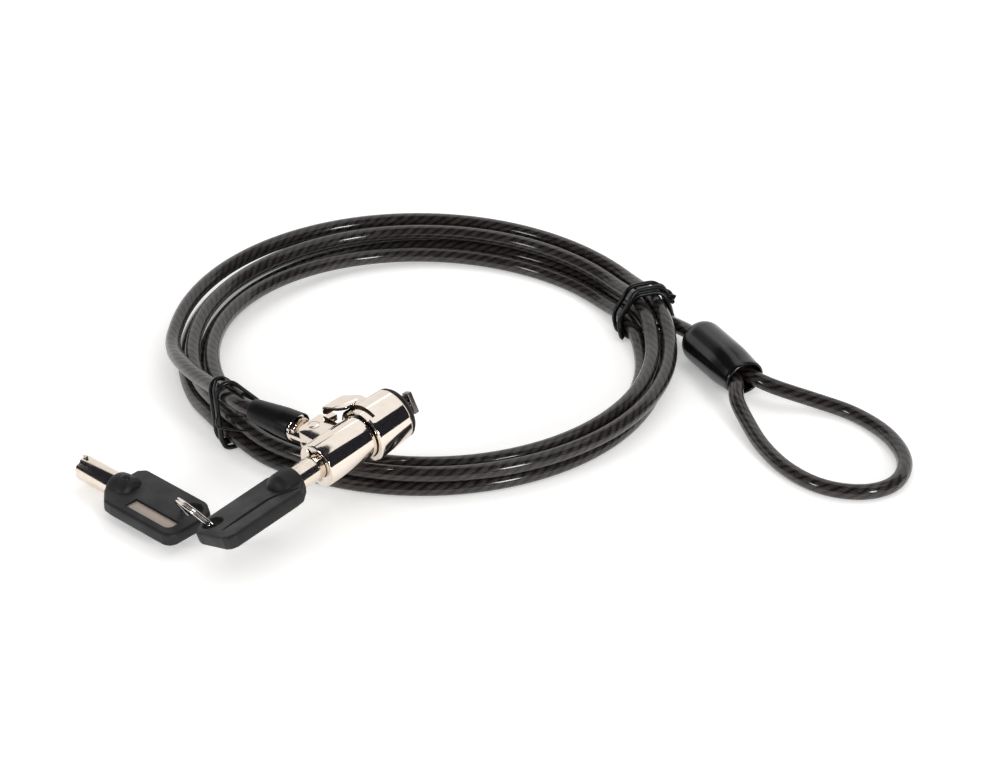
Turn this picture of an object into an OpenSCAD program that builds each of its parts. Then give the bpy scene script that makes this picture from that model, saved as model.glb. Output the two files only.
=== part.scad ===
// Cable lock for a laptop: steel cable with an anchor eye, a T-bar lock head and two tubular keys.
// The part lies on a table at z = 0, with the cable coiled and tied and one key in the lock.

/* [Cable] */
// Outer diameter of the sheathed cable
cable_d = 4.4; // [4:0.1:4.8]
// Whole loops in the coil
whole_loops = 4; // [2:2:6]
// Centreline radius of the innermost loop
loop_inner_r = 61.4; // [50:0.1:80]
// Step outwards from one loop to the next
loop_step = 5.0; // [4.9:0.1:6]
// Extra step where the loops spread apart between the ties
spread_step = 3.0; // [0:0.1:4]
// Step up from one layer of loops to the next
layer_step = 4.9; // [4.9:0.1:5.6]
// Inward shift of the lower layer
layer_shift = 1.2; // [0:0.1:2]
// Depth of the coil as a share of its width
coil_depth_share = 0.98; // [0.9:0.005:1.1]

/* [Ties] */
// Diameter of the covered tie wire
tie_d = 1.2; // [0.8:0.1:1.6]
// Pitch between the wraps of a tie
tie_pitch = 2.2; // [1.7:0.1:3]
// Length of a tie's free end
tie_tail = 8; // [4:0.5:14]

/* [Eye] */
// Length of the sleeve over the eye's crimp
sleeve_len = 27; // [22:0.5:34]
// Diameter of the sleeve
sleeve_d = 13; // [12:0.1:15]
// Height of the sleeve's mouth
sleeve_mouth_h = 10.4; // [9:0.1:12]
// Wall of the sleeve
sleeve_wall = 0.9; // [0.6:0.1:1.2]
// Depth of the sleeve's open mouth
mouth_depth = 5; // [3:0.5:7]
// Thickness of the sleeve's closed end
sleeve_end_t = 3; // [2:0.5:5]
// Width of the crimp
crimp_w = 9.4; // [9:0.1:10]
// Height of the crimp
crimp_h = 6.6; // [5.5:0.1:7.5]

/* [Boot and end fitting] */
// Length of the boot over the end of the cable
boot_len = 15; // [12:0.5:20]
// Diameter of the boot at the fitting
boot_d = 8.4; // [8:0.1:9.4]
// Diameter of the boot at the cable
boot_tip_d = 6.6; // [6.2:0.1:8]
// Diameter of the crimped ferrule inside the boot
ferrule_d = 5.8; // [5.2:0.1:6.4]
// Length of the ferrule inside the boot
ferrule_len = 10; // [7:0.5:11]
// Diameter of the fitting's flange
flange_d = 8.6; // [8.4:0.1:9.6]
// Thickness of the fitting's flange
flange_t = 1.0; // [0.6:0.1:1.4]
// Diameter of the half-round neck in front of the flange
neck_d = 6.6; // [5:0.1:7]
// Length of the neck
neck_len = 1.4; // [1:0.1:2]
// Thickness of the flat tongue
tongue_t = 1.3; // [1:0.1:1.6]
// Half the width of the tongue, and the radius of its round end
tongue_r = 4.0; // [3:0.1:4]
// Distance from the rivet to the front of the neck
neck_reach = 4.8; // [4.7:0.1:6]

/* [Housing] */
// Diameter of the barrel
barrel_d = 12.8; // [12.2:0.1:13.4]
// Length of the barrel behind the collar
barrel_len = 16.8; // [16.5:0.1:20]
// Bore of the barrel, which holds the cylinder
bore_d = 10.0; // [9.8:0.1:10.2]
// Diameter of the spigot that the collar slides on
spigot_d = 11.2; // [11:0.1:11.4]
// Length of the spigot
spigot_len = 8; // [7.5:0.1:8.5]
// Thickness of the lip round the keyway
lip_t = 0.9; // [0.6:0.1:1.2]
// Length of the lug that holds the cable
lug_len = 9.3; // [9:0.1:10]
// Distance from the rear face to the lug
lug_start = 3.9; // [3:0.1:4.2]
// Reach of the lug from the barrel's axis
lug_reach = 11.8; // [11.4:0.1:12.2]
// Thickness of the lug's upper ear
lug_top_t = 2.6; // [2:0.1:3]
// Thickness of the lug's lower ear
lug_low_t = 1.9; // [1.4:0.1:2.4]
// Height of the tongue's middle above the barrel's axis
tongue_rise = 1.0; // [0.8:0.1:1.2]
// Diameter of the pivot rivet
rivet_d = 3.0; // [2.4:0.1:3.2]
// Distance from the rear face to the rivet
rivet_x = 8.5; // [8.2:0.1:8.8]
// Distance from the barrel's axis to the rivet
rivet_y = 9.3; // [9.2:0.1:9.4]

/* [Collar] */
// Diameter of the collar's rear ring
ring_band_d = 16.4; // [15.8:0.1:16.8]
// Width of the collar's rear ring
ring_band_w = 1.0; // [0.8:0.1:1.6]
// Diameter of the collar behind its taper
collar_d = 16.4; // [15.8:0.1:16.8]
// Diameter of the collar at the nose
collar_nose_d = 15.2; // [14.6:0.1:15.6]
// Length of the collar
collar_len = 12; // [11.5:0.1:12.6]
// Travel of the collar
collar_travel = 3; // [2:0.1:3]
// Depth of the wide bore that passes over the barrel
collar_wide_depth = 5; // [4.6:0.1:5.4]
// Reach of the thumb hood from the barrel's axis
hood_reach = 10.9; // [10.6:0.1:11.6]
// Height of the hood's top above the barrel's axis
hood_top = 6.9; // [6.7:0.1:7.2]
// Distance that the hood reaches behind the collar
hood_overhang = 4.0; // [3:0.1:4.2]
// Length of the hood's outer edge
hood_edge = 7; // [5:0.1:8]
// Wall of the hood
hood_wall = 1.1; // [0.8:0.1:1.3]
// Wire diameter of the collar spring
spring_wire = 0.4; // [0.3:0.05:0.45]
// Coils in the collar spring
spring_coils = 4; // [3:1:5]

/* [Nose and T-bar] */
// Length of the rubber nose cap
cap_len = 2.1; // [1.6:0.1:3]
// Diameter of the nose cap's front
cap_front_d = 13.8; // [13:0.1:14.2]
// Thickness of the disc that carries the wings
wing_disc_t = 1.0; // [0.8:0.1:1.1]
// Length of the T-bar across the neck
t_bar_len = 6.4; // [6:0.1:6.6]
// Width of the T-bar
t_bar_w = 2.6; // [2.4:0.1:2.8]
// Thickness of the T-bar
t_bar_t = 1.6; // [1.2:0.1:2]
// Gap from the nose cap to the T-bar
t_bar_gap = 3.7; // [3.6:0.1:5]
// Gap from the wings to the T-bar
wing_gap = 0.6; // [0.4:0.1:1.4]
// Diameter of the neck behind the T-bar
neck_bar_d = 2.4; // [2:0.1:2.4]
// Diameter of the spindle
spindle_d = 3.2; // [3:0.1:3.6]

/* [Cylinder] */
// Number of pins round the keyway
pin_count = 7; // [5:1:8]
// Diameter of the pins
pin_d = 0.84; // [0.7:0.02:0.9]
// Diameter of the circle that the pins stand on
pin_circle_d = 6.3; // [6.2:0.1:6.4]
// Diameter of the plug's post inside the key
post_d = 5.0; // [4.8:0.1:5.1]
// Diameter of the plug's flange
plug_d = 8.7; // [8.6:0.05:8.8]
// Thickness of the plug's flange
plug_t = 2.8; // [2.2:0.1:3]
// Diameter of the plug's stem
stem_d = 3.8; // [3.6:0.1:4.2]
// Length of the pin chamber block
chamber_len = 4.7; // [4.4:0.1:4.8]
// Diameter of the stop cam
cam_d = 8.8; // [8:0.1:9.4]
// Thickness of the stop cam
cam_t = 1.2; // [1:0.1:1.4]
// Turn of the key from unlocked to locked
key_turn = 90; // [80:1:100]

/* [Keys] */
// Outer diameter of the key's tube
tube_d = 7.2; // [7.2:0.1:7.5]
// Inner diameter of the key's tube
tube_bore_d = 5.2; // [5.2:0.1:5.4]
// Length of the tube outside the bow
tube_len = 14.3; // [13:0.1:16]
// Depth that the key goes into the lock
key_depth = 5.5; // [5:0.1:5.6]
// Diameter over the key's outer nib
nib_d = 8.7; // [8.3:0.1:8.7]
// Length of the bow
bow_len = 30.6; // [28:0.1:34]
// Width of the bow
bow_w = 18.6; // [18:0.1:22]
// Thickness of the bow
bow_t = 3.9; // [3.4:0.1:4.4]
// Offset of the bow's middle from the tube's axis, towards the badge
bow_offset = 0.5; // [0:0.1:0.8]
// Diameter of the hub where the tube enters the bow
hub_d = 9.8; // [9.6:0.1:10.6]
// Offset of the bow and hub from the tube's axis, along the bow's width
grip_shift = 0.6; // [0:0.1:0.6]
// Length of the hub
hub_len = 7; // [6:0.1:9]
// Diameter of the hole for the ring
ring_hole_d = 5.8; // [5.6:0.1:6.4]
// Distance from the hole to the end of the bow
ring_hole_end = 5.4; // [4.6:0.1:6]
// Distance from the hole to the middle of the bow
ring_hole_off = 4.2; // [3.6:0.1:4.6]
// Length of the badge plate
badge_len = 17; // [12:0.5:18]
// Width of the badge plate
badge_w = 4.2; // [3:0.1:5]
// Thickness of the badge plate
badge_t = 0.5; // [0.3:0.1:0.8]
// Mean diameter of the split ring
key_ring_d = 17.8; // [17:0.1:20]
// Wire diameter of the split ring
key_ring_wire = 0.9; // [0.6:0.1:0.9]

/* [Layout on the table] */
// From the coil's middle to the lock's rear face, along -Y
lock_front = 77.5; // [70:0.5:85]
// The same, along -X
lock_left = 28.85; // [20:0.05:40]
// Height of the lock's axis at its rear face
lock_rise = 16.55; // [15:0.05:18]
// From the coil's middle to the closed end of the sleeve, along X
eye_right = 77.6; // [74:0.2:90]
// The same, along Y
eye_back = 6.6; // [0:0.2:12]
// Place of the coil's middle from the origin, along X
corner_x = 48.67;
// The same, along Y
corner_y = 80.76;
// Way over the table from the ring hole of key 1 to that of key 2
hole_span = [-7.295, 14.490];

/* [Clearances] */
// Radial gap of a running fit
run_gap = 0.05; // [0.02:0.01:0.08]
// Radial gap of a fixed fit
fix_gap = 0.01; // [0.005:0.005:0.02]
// Gap between pieces that only pass each other
pass_gap = 0.1; // [0.05:0.01:0.15]

/* [Hidden] */

black = "#1d1b1c";
dark_steel = "#3a3a3c";
grey_steel = "#8a8784";
nickel = "#cfc6bc";
brass_tone = "#b99b5a";

// Where things lie on the table
coil_at = [corner_x, corner_y, 0];
lock_at = coil_at + [-lock_left, -lock_front, lock_rise];
lock_turn = 45.2;
lock_tilt = 7;
boot_turn = 8;
key_roll = -19;
key_2_turn = 137.5;
hole_point = [-bow_len + ring_hole_end, grip_shift - ring_hole_off, bow_offset];
hole_1 = key_1_place(hole_point);
key_2_at = hole_1 + [hole_span.x, hole_span.y, 0] - rot_z(key_2_turn, hole_point);
eye_at = coil_at + [eye_right, eye_back, 0];
eye_turn = -61.3;

// Coil: the angles of the ties, and of the place where the spiral turns back
lock_tie_angle = 214;
eye_tie_angle = 17;
coil_start_angle = 172;
reversal_angle = (lock_tie_angle + eye_tie_angle) / 2;
rings_per_loop = 24;
coil_sides = 6;
lead_sides = 8;
reversal_softness = 0.1;
climb_start = -0.22;
climb_len = 0.4;
lift_half_angle = 16;
coil_first = -whole_loops / 2 - (coil_start_angle - reversal_angle) / 360 + 0;
coil_last = whole_loops / 2 + (reversal_angle - eye_tie_angle) / 360;

// Free stretches of the cable, as points chosen by hand, relative to the coil's centre
lead_points = [[-73.4, -4.2, 7.9], [-71.1, -11.9, 9.8], [-66.8, -21.9, 12.0],
               [-62.4, -29.7, 13.8], [-57.7, -38.1, 15.8]];
eye_points = [[96.6, -19.2, 6.2], [102.6, -21.4, 5.0], [110.6, -23.4, 3.2], [121.0, -29.0, 2.2],
              [129.4, -40.0, 2.2], [132.8, -53.0, 2.2], [129.2, -64.0, 2.2], [120.4, -68.6, 2.2],
              [109.4, -66.2, 2.2], [100.2, -57.6, 2.2], [93.8, -45.6, 2.4], [89.8, -33.6, 3.6],
              [87.6, -25.6, 5.4]];

// Lengths along the lock's axis, from the rear face of the barrel
collar_x = barrel_len + 0.2;
collar_end = collar_x + collar_len;
spigot_end = barrel_len + spigot_len;
cap_end = collar_end + cap_len;
t_bar_x = cap_end + t_bar_gap;
key_tip_x = key_depth;
flange_x = key_tip_x + 0.2;
shear_x = flange_x + plug_t;
chamber_x = shear_x + 0.05;
chamber_end = chamber_x + chamber_len;
clip_t = 0.6;
clip_x = chamber_end + 0.1;
stem_end = clip_x + clip_t + 0.3;
cam_x = stem_end + 0.2;
cam_end = cam_x + cam_t;
stop_x = cam_x + cam_t / 2;
bush_len = 3;
bush_x = spigot_end - 0.2 - bush_len;
step_x = bush_x + bush_len + 1.0;
boot_x = neck_reach + neck_len + flange_t;

cable_r = cable_d / 2;
pi = 3.14159265;

// ---------- vector and path functions ----------

function unit(v) = v / norm(v);
function rot_x(a, p) = [p.x, p.y * cos(a) - p.z * sin(a), p.y * sin(a) + p.z * cos(a)];
function rot_y(a, p) = [p.x * cos(a) + p.z * sin(a), p.y, -p.x * sin(a) + p.z * cos(a)];
function rot_z(a, p) = [p.x * cos(a) - p.y * sin(a), p.x * sin(a) + p.y * cos(a), p.z];
function smooth(t) = let (k = min(max(t, 0), 1)) k * k * (3 - 2 * k);

// A point of the lock's own frame, placed on the table
function lock_place(p) = lock_at + rot_z(lock_turn, rot_y(-lock_tilt, p));
// A direction of the lock's own frame
function lock_dir(v) = rot_z(lock_turn, rot_y(-lock_tilt, v));
// A point of the fitting's frame: x runs from the rivet along the boot
function boot_place(p) = lock_place([rivet_x, rivet_y, tongue_rise] + rot_z(90 + boot_turn, p));
// Points of the two keys: x runs from the bow to the tip, and the badge faces up
function key_1_place(p) = lock_place([key_depth - tube_len, 0, 0] + rot_x(180 + key_roll, p));
function key_2_place(p) = [key_2_at.x, key_2_at.y, hub_d / 2] + rot_z(key_2_turn, p);
// A point of the eye's frame: x runs along the sleeve to the loop
function eye_place(p) = [eye_at.x, eye_at.y, sleeve_d / 2] + rot_z(eye_turn, p);

// Catmull-Rom curve through the points, with a number of steps for each span
function spline(p, steps) =
    [for (i = [0 : len(p) - 2])
        for (s = [0 : (i == len(p) - 2 ? steps : steps - 1)])
            let (t = s / steps,
                 a = p[max(i - 1, 0)],
                 b = p[i],
                 c = p[i + 1],
                 d = p[min(i + 2, len(p) - 1)])
            0.5 * (2 * b + (c - a) * t + (2 * a - 5 * b + 4 * c - d) * t * t
                   + (3 * b - a - 3 * c + d) * t * t * t)];
function path_length(p) = len(p) < 2 ? 0
    : [for (i = [1 : len(p) - 1]) norm(p[i] - p[i - 1])] * [for (i = [1 : len(p) - 1]) 1];
function tangent(p, i) = unit(p[min(i + 1, len(p) - 1)] - p[max(i - 1, 0)]);

// A closed tube swept along a path, with triangular faces; ref is a direction it never follows
module tube(path, d, sides, ref = [0, 0, 1], phase = 30) {
    n = len(path);
    points = [for (i = [0 : n - 1])
        let (t = tangent(path, i), s = unit(cross(t, ref)), u = cross(s, t))
        for (k = [0 : sides - 1])
            path[i] + d / 2 * (cos(360 * k / sides + phase) * s + sin(360 * k / sides + phase) * u)];
    walls = [for (i = [0 : n - 2])
        for (k = [0 : sides - 1])
            let (a = i * sides + k, b = i * sides + (k + 1) % sides)
            each [[a, b, b + sides], [a, b + sides, a + sides]]];
    start_cap = [for (k = [1 : sides - 2]) [0, k + 1, k]];
    last = (n - 1) * sides;
    end_cap = [for (k = [1 : sides - 2]) [last, last + k, last + k + 1]];
    polyhedron(points = points, faces = concat(walls, start_cap, end_cap));
}

// ---------- coil ----------

// Loops are counted from the reversal: negative on the way in, positive on the way out
function loop_angle(u) = reversal_angle - 360 * u;
function angle_between(a, b) = let (d = (a - b) % 360) d > 180 ? d - 360 : d < -180 ? d + 360 : d;
function spread(a) =
    let (from_mid = abs(angle_between(a, reversal_angle)),
         half = (lock_tie_angle - eye_tie_angle) / 2)
    from_mid < half ? pow(cos(90 * from_mid / half), 2) : 0;
function loop_r(u) =
    loop_inner_r - layer_shift * smooth((u - climb_start) / climb_len)
    + (loop_step + spread_step * spread(loop_angle(u)))
    * sqrt(u * u + reversal_softness * reversal_softness);
function lift(a) =
    (tie_d + 0.4) * max([for (t = [lock_tie_angle, eye_tie_angle])
                    smooth(1.6 - abs(angle_between(a, t)) / lift_half_angle * 1.6)]);
function loop_z(u) =
    cable_r + layer_step * (1 - smooth((u - climb_start) / climb_len)) + lift(loop_angle(u));
function loop_point(u) =
    coil_at + [loop_r(u) * cos(loop_angle(u)),
               coil_depth_share * loop_r(u) * sin(loop_angle(u)),
               loop_z(u)];
function loop_dir(u) = unit(loop_point(u + 0.001) - loop_point(u - 0.001));

coil_steps = round((coil_last - coil_first) * rings_per_loop);
wound = [for (i = [0 : coil_steps]) loop_point(coil_first + i / rings_per_loop)];
wound_end = loop_point(coil_first + coil_steps / rings_per_loop);
wound_start_dir = loop_dir(coil_first);
wound_end_dir = loop_dir(coil_first + coil_steps / rings_per_loop);
coil_path = concat([wound[0] - cable_d * wound_start_dir], wound, [wound_end + cable_d * wound_end_dir]);

// Least gap from a loop to the ones beside, under and over it, measured on the points
coil_gap = min([for (i = [0 : len(wound) - 1])
                for (j = [i + rings_per_loop / 2 : 1 : len(wound) - 1])
                    norm(wound[j] - wound[i])]) - cable_d;

module cable_coil() {
    color(black) tube(coil_path, cable_d, coil_sides);
}

// ---------- free stretches ----------

// From the ferrule in the boot, up over the bundle and down onto the coil's first loop
lead_start = boot_place([boot_x + ferrule_len, 0, 0]);
lead_dir = unit(boot_place([1, 0, 0]) - boot_place([0, 0, 0]));
lead_exit = lead_start + (boot_len - ferrule_len + cable_d) * lead_dir;
lead_join = coil_path[0] - cable_d / 2 * wound_start_dir;
lead_route = concat([lead_exit],
                    [for (i = [len(lead_points) - 1 : -1 : 0]) coil_at + lead_points[i]],
                    [lead_join]);
lead_path = concat([lead_start], spline(lead_route, 4), [coil_path[0]]);

// From the coil's last loop to the crimp in the sleeve
coil_end = coil_path[len(coil_path) - 1];
eye_lead_path = concat([coil_end],
                       spline([coil_end + cable_d / 2 * wound_end_dir, eye_place([-cable_d / 2, 0, 0])], 4),
                       [eye_place([sleeve_end_t, 0, 0])]);

// The loop itself, from one side of the crimp round to the other
leg_off = 2.35;
crimp_end = sleeve_len - mouth_depth;
leg_end = crimp_end + cable_d;
loop_route = concat([eye_place([leg_end, leg_off, 0])], [for (p = eye_points) coil_at + p],
                    [eye_place([leg_end, -leg_off, 0])]);
loop_path = concat([eye_place([crimp_end, leg_off, 0])], spline(loop_route, 3),
                   [eye_place([crimp_end, -leg_off, 0])]);

module lock_lead() {
    color(black) tube(lead_path, cable_d, lead_sides);
}
module eye_lead() {
    color(black) tube(eye_lead_path, cable_d, lead_sides);
}
module eye_loop() {
    color(black) tube(loop_path, cable_d, lead_sides);
}

// ---------- sleeve and crimp of the eye ----------

module eye_frame() {
    translate([eye_at.x, eye_at.y, sleeve_d / 2]) rotate([0, 0, eye_turn]) children();
}
// A thin slice of an oval section across x
module slice(x, w, h, t = 0.02) {
    translate([x, 0, 0]) rotate([90, 0, 90]) scale([w / 2, h / 2, 1]) cylinder(r = 1, h = t, $fn = 32);
}
module eye_sleeve() {
    shoulder = 4;
    color(black) eye_frame() difference() {
        hull() {
            slice(0, sleeve_d * 0.56, sleeve_d * 0.56);
            slice(shoulder * 0.3, sleeve_d * 0.82, sleeve_d * 0.82);
            slice(shoulder, sleeve_d, sleeve_d);
            slice(sleeve_len * 0.66, sleeve_d, sleeve_d);
            slice(sleeve_len - 0.02, sleeve_d - 0.6, sleeve_mouth_h);
        }
        hull() {
            slice(crimp_end, sleeve_d - 2 * sleeve_wall, sleeve_mouth_h - 2 * sleeve_wall);
            slice(sleeve_len + 0.1, sleeve_d - 0.6 - 2 * sleeve_wall, sleeve_mouth_h - 2 * sleeve_wall);
        }
        translate([sleeve_end_t, 0, 0]) crimp_form(fix_gap);
        translate([-1, 0, 0]) rotate([0, 90, 0]) cylinder(r = cable_r + fix_gap, h = sleeve_end_t + 2, $fn = 48);
    }
}
// The crimp: a flat-sided bar with round edges
module crimp_form(gap) {
    l = crimp_end - sleeve_end_t;
    r = crimp_h / 2 + gap;
    half = crimp_w / 2 - crimp_h / 2;
    rotate([90, 0, 90]) linear_extrude(l) union() {
        translate([-half, 0]) circle(r = r, $fn = 48);
        translate([half, 0]) circle(r = r, $fn = 48);
        translate([-half, -r]) square([2 * half, 2 * r]);
    }
}
module eye_crimp() {
    color(grey_steel) eye_frame() translate([sleeve_end_t, 0, 0]) crimp_form(0);
}

// ---------- wire ties ----------

// Places of the strands that a tie goes round, seen along the bundle: across, up
function strands_at(a) =
    [for (k = [-whole_loops / 2 - 1 : whole_loops / 2 + 1])
        let (u = (reversal_angle - a) / 360 + k)
        if (u >= coil_first - 0.01 && u <= coil_last + 0.01) [loop_r(u), loop_z(u)]];
// One turn of wire drawn tight round the strands, as points [across, up]
function band(strands, steps) =
    [for (i = [0 : steps - 1])
        let (n = [cos(360 * i / steps), sin(360 * i / steps)],
             reach = [for (c = strands) c * n],
             far = max(reach),
             best = [for (k = [0 : len(strands) - 1]) if (reach[k] >= far - 0.001) strands[k]][0])
        best + (cable_r + tie_d / 2 + 0.32) * n];
tie_steps = 20;
tie_wraps = 2;
module tie(a, strands, tail_up) {
    ring = band(strands, tie_steps);
    out = [cos(a), coil_depth_share * sin(a), 0];
    along = unit([-sin(a), coil_depth_share * cos(a), 0]);
    turns = [for (i = [0 : tie_wraps * tie_steps])
        let (p = ring[i % tie_steps])
        coil_at + out * p.x + [0, 0, p.y] + along * tie_pitch * (i / tie_steps - tie_wraps / 2)];
    last = turns[len(turns) - 1];
    tail = [for (s = [0.3, 0.65, 1]) last + out * tie_tail * s * 0.8 + [0, 0, tail_up * tie_tail * s * s]];
    tube(concat(turns, tail), tie_d, 6, along, 0);
}
module left_tie() {
    lead_near = [for (p = lead_path)
        let (q = p - coil_at, a = atan2(q.y / coil_depth_share, q.x))
        if (abs(angle_between(a, lock_tie_angle)) < 8) [norm([q.x, q.y / coil_depth_share]), q.z]];
    color(dark_steel) tie(lock_tie_angle, concat(strands_at(lock_tie_angle), lead_near), 0.1);
}
module right_tie() {
    color(dark_steel) tie(eye_tie_angle + 6, strands_at(eye_tie_angle + 6), 0.25);
}

// ---------- boot and end fitting, on the cable's side of the pivot ----------

module lock_frame() {
    translate(lock_at) rotate([0, 0, lock_turn]) rotate([0, -lock_tilt, 0]) children();
}
module boot_frame() {
    lock_frame() translate([rivet_x, rivet_y, tongue_rise]) rotate([0, 0, 90 + boot_turn]) children();
}
// A turned shape about the x axis, from points [radius, x]
module turned(points, facets = 96) {
    rotate([0, 90, 0]) rotate_extrude($fn = facets) polygon(points);
}
module lock_boot() {
    br = boot_d / 2;
    tr = boot_tip_d / 2;
    color(black) boot_frame() turned([
        [ferrule_d / 2 + fix_gap, boot_x], [br - 0.3, boot_x], [br, boot_x + 0.3],
        [br, boot_x + boot_len * 0.25], [tr + 0.1, boot_x + boot_len * 0.85],
        [tr, boot_x + boot_len - 0.5], [tr - 0.5, boot_x + boot_len],
        [cable_r + fix_gap, boot_x + boot_len],
        [cable_r + fix_gap, boot_x + ferrule_len + fix_gap],
        [ferrule_d / 2 + fix_gap, boot_x + ferrule_len + fix_gap]]);
}
module cable_end_fitting() {
    color(nickel) boot_frame() difference() {
        union() {
            translate([0, 0, -tongue_t / 2]) cylinder(r = tongue_r, h = tongue_t, $fn = 96);
            translate([0, -tongue_r, -tongue_t / 2]) cube([neck_reach + neck_len, 2 * tongue_r, tongue_t]);
            translate([neck_reach, 0, 0]) rotate([0, 90, 0]) cylinder(d = neck_d, h = neck_len + 0.2, $fn = 96);
            translate([neck_reach + neck_len, 0, 0]) rotate([0, 90, 0]) cylinder(d = flange_d, h = flange_t, $fn = 96);
            translate([boot_x - 0.2, 0, 0]) rotate([0, 90, 0])
                cylinder(d = ferrule_d, h = ferrule_len + 0.2, $fn = 96);
        }
        translate([0, 0, -tongue_t]) cylinder(d = rivet_d + 2 * run_gap, h = 2 * tongue_t, $fn = 64);
    }
}

// ---------- lock housing and what is fixed in it ----------

pin_r = pin_d / 2;
ear_gap = pass_gap;
ear_low = tongue_rise - tongue_t / 2 - ear_gap;
ear_high = tongue_rise + tongue_t / 2 + ear_gap;
lug_end = lug_start + lug_len;
lug_corner = 2;
// The lug seen from above, with its rear outer corner rounded
module lug_outline() {
    small = 0.8;
    translate([lug_start, 4.6]) square([lug_len, lug_reach - lug_corner - 4.6]);
    translate([lug_start + lug_corner, 4.6]) square([lug_len - lug_corner - small, lug_reach - 4.6]);
    translate([lug_start + lug_corner, lug_reach - lug_corner]) circle(r = lug_corner, $fn = 48);
    translate([lug_end - small - 0.1, 4.6]) square([small + 0.1, lug_reach - small - 4.6]);
    translate([lug_end - small, lug_reach - small]) circle(r = small, $fn = 32);
}
keyway_d = nib_d + 2 * pass_gap + 0.06;
notch_w = 1.4;
shell_pin_x = chamber_x + chamber_len / 2;
module lock_housing() {
    color(nickel) lock_frame() difference() {
        union() {
            turned([[0, 0], [barrel_d / 2 - 0.35, 0], [barrel_d / 2, 0.35], [barrel_d / 2, barrel_len],
                    [spigot_d / 2, barrel_len], [spigot_d / 2, spigot_end], [0, spigot_end]]);
            translate([0, 0, ear_low - lug_low_t]) linear_extrude(ear_high + lug_top_t - ear_low + lug_low_t)
                lug_outline();
        }
        translate([-1, 0, 0]) rotate([0, 90, 0]) cylinder(d = keyway_d, h = lip_t + 1.01, $fn = 96);
        translate([lip_t, 0, 0]) rotate([0, 90, 0]) cylinder(d = bore_d, h = spigot_end, $fn = 96);
        // Location notch of the keyway
        rotate([55, 0, 0]) translate([-1, 0, -notch_w / 2]) cube([lip_t + 1.01, keyway_d / 2 + 0.7, notch_w]);
        // Room for the tongue between the ears, and for its round end in the barrel
        translate([rivet_x, rivet_y, ear_low]) cylinder(r = tongue_r + pass_gap, h = ear_high - ear_low, $fn = 96);
        translate([lug_start - 1, barrel_d / 2 + 0.05, ear_low]) cube([lug_len + 2, lug_reach, ear_high - ear_low]);
        // Rivet hole, stop pin hole and shell pin hole
        translate([rivet_x, rivet_y, -10]) cylinder(d = rivet_d + 2 * fix_gap, h = 20, $fn = 64);
        translate([stop_x, 0, -barrel_d]) cylinder(r = stop_pin_r + fix_gap, h = barrel_d, $fn = 32);
        translate([shell_pin_x, 0, -barrel_d]) cylinder(r = shell_pin_r + fix_gap, h = barrel_d, $fn = 32);
    }
}
module pivot_rivet() {
    low = ear_low - lug_low_t;
    color(grey_steel) lock_frame() translate([rivet_x, rivet_y, low])
        cylinder(d = rivet_d, h = ear_high + lug_top_t - low, $fn = 64);
}
stop_pin_r = 0.5;
shell_pin_r = 0.4;
module radial_pin(x, r, from_r, to_r) {
    translate([x, 0, -to_r]) cylinder(r = r, h = to_r - from_r, $fn = 32);
}
module stop_pin() {
    color(grey_steel) lock_frame() radial_pin(stop_x, stop_pin_r, cam_d / 2 - 1.3, barrel_d / 2 - 0.1);
}
module shell_pin() {
    color(grey_steel) lock_frame() radial_pin(shell_pin_x, shell_pin_r, stem_d / 2 + 0.9, barrel_d / 2 - 0.1);
}
// The fixed cylinder: a cup for the plug's flange in front of a block with the pin chambers
pin_phase = 90 + 180 / pin_count;
module at_pins(x) {
    for (k = [0 : pin_count - 1])
        rotate([360 * k / pin_count + pin_phase, 0, 0]) translate([x, 0, pin_circle_d / 2])
            rotate([0, 90, 0]) children();
}
spring_room = 2.3;
driver_x = chamber_x + 0.05;
driver_len = 1.8;
chamber_depth = driver_len + spring_room + 0.15;
module cylinder_shell() {
    outer = bore_d / 2 - fix_gap;
    cup = plug_d / 2 + run_gap;
    color(brass_tone) lock_frame() difference() {
        turned([[cup, lip_t + 0.02], [outer, lip_t + 0.02], [outer, chamber_end],
                [stem_d / 2 + run_gap, chamber_end], [stem_d / 2 + run_gap, chamber_x], [cup, chamber_x]]);
        at_pins(chamber_x - 1) cylinder(r = pin_r + run_gap, h = chamber_depth + 1, $fn = 24);
        radial_hole(shell_pin_x, shell_pin_r + fix_gap, stem_d / 2 + 0.9 - fix_gap, bore_d / 2 + 1);
    }
}
module radial_hole(x, r, from_r, to_r) {
    translate([x, 0, -to_r]) cylinder(r = r, h = to_r - from_r, $fn = 32);
}
module driver_pins() {
    color(brass_tone) lock_frame() at_pins(driver_x) cylinder(r = pin_r, h = driver_len, $fn = 24);
}
// Pin springs: small helices behind the driver pins
module helix(r, wire, coils, length, steps, sides) {
    n = coils * steps;
    tube([for (i = [0 : n]) [length * i / n, r * cos(360 * i / steps), r * sin(360 * i / steps)]],
         wire, sides, [1, 0, 0], 0);
}
module pin_springs() {
    wire = 0.16;
    color(grey_steel) lock_frame() for (k = [0 : pin_count - 1])
        rotate([360 * k / pin_count + pin_phase, 0, 0])
            translate([driver_x + driver_len + wire / 2 + 0.02, 0, pin_circle_d / 2])
                helix(pin_r - wire / 2, wire, 4, spring_room - 0.2 - wire, 8, 4);
}
module spindle_bush() {
    color(brass_tone) lock_frame() turned([
        [spindle_d / 2 + run_gap, bush_x], [bore_d / 2 - fix_gap, bush_x],
        [bore_d / 2 - fix_gap, bush_x + bush_len], [spindle_d / 2 + run_gap, bush_x + bush_len]]);
}

// ---------- collar, nose and wings ----------

wide_r = barrel_d / 2 + pass_gap;
slide_r = spigot_d / 2 + run_gap;
hood_low = ear_high + lug_top_t + 0.15;
hood_x = collar_x - hood_overhang;
hood_front = 3.8;
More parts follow.
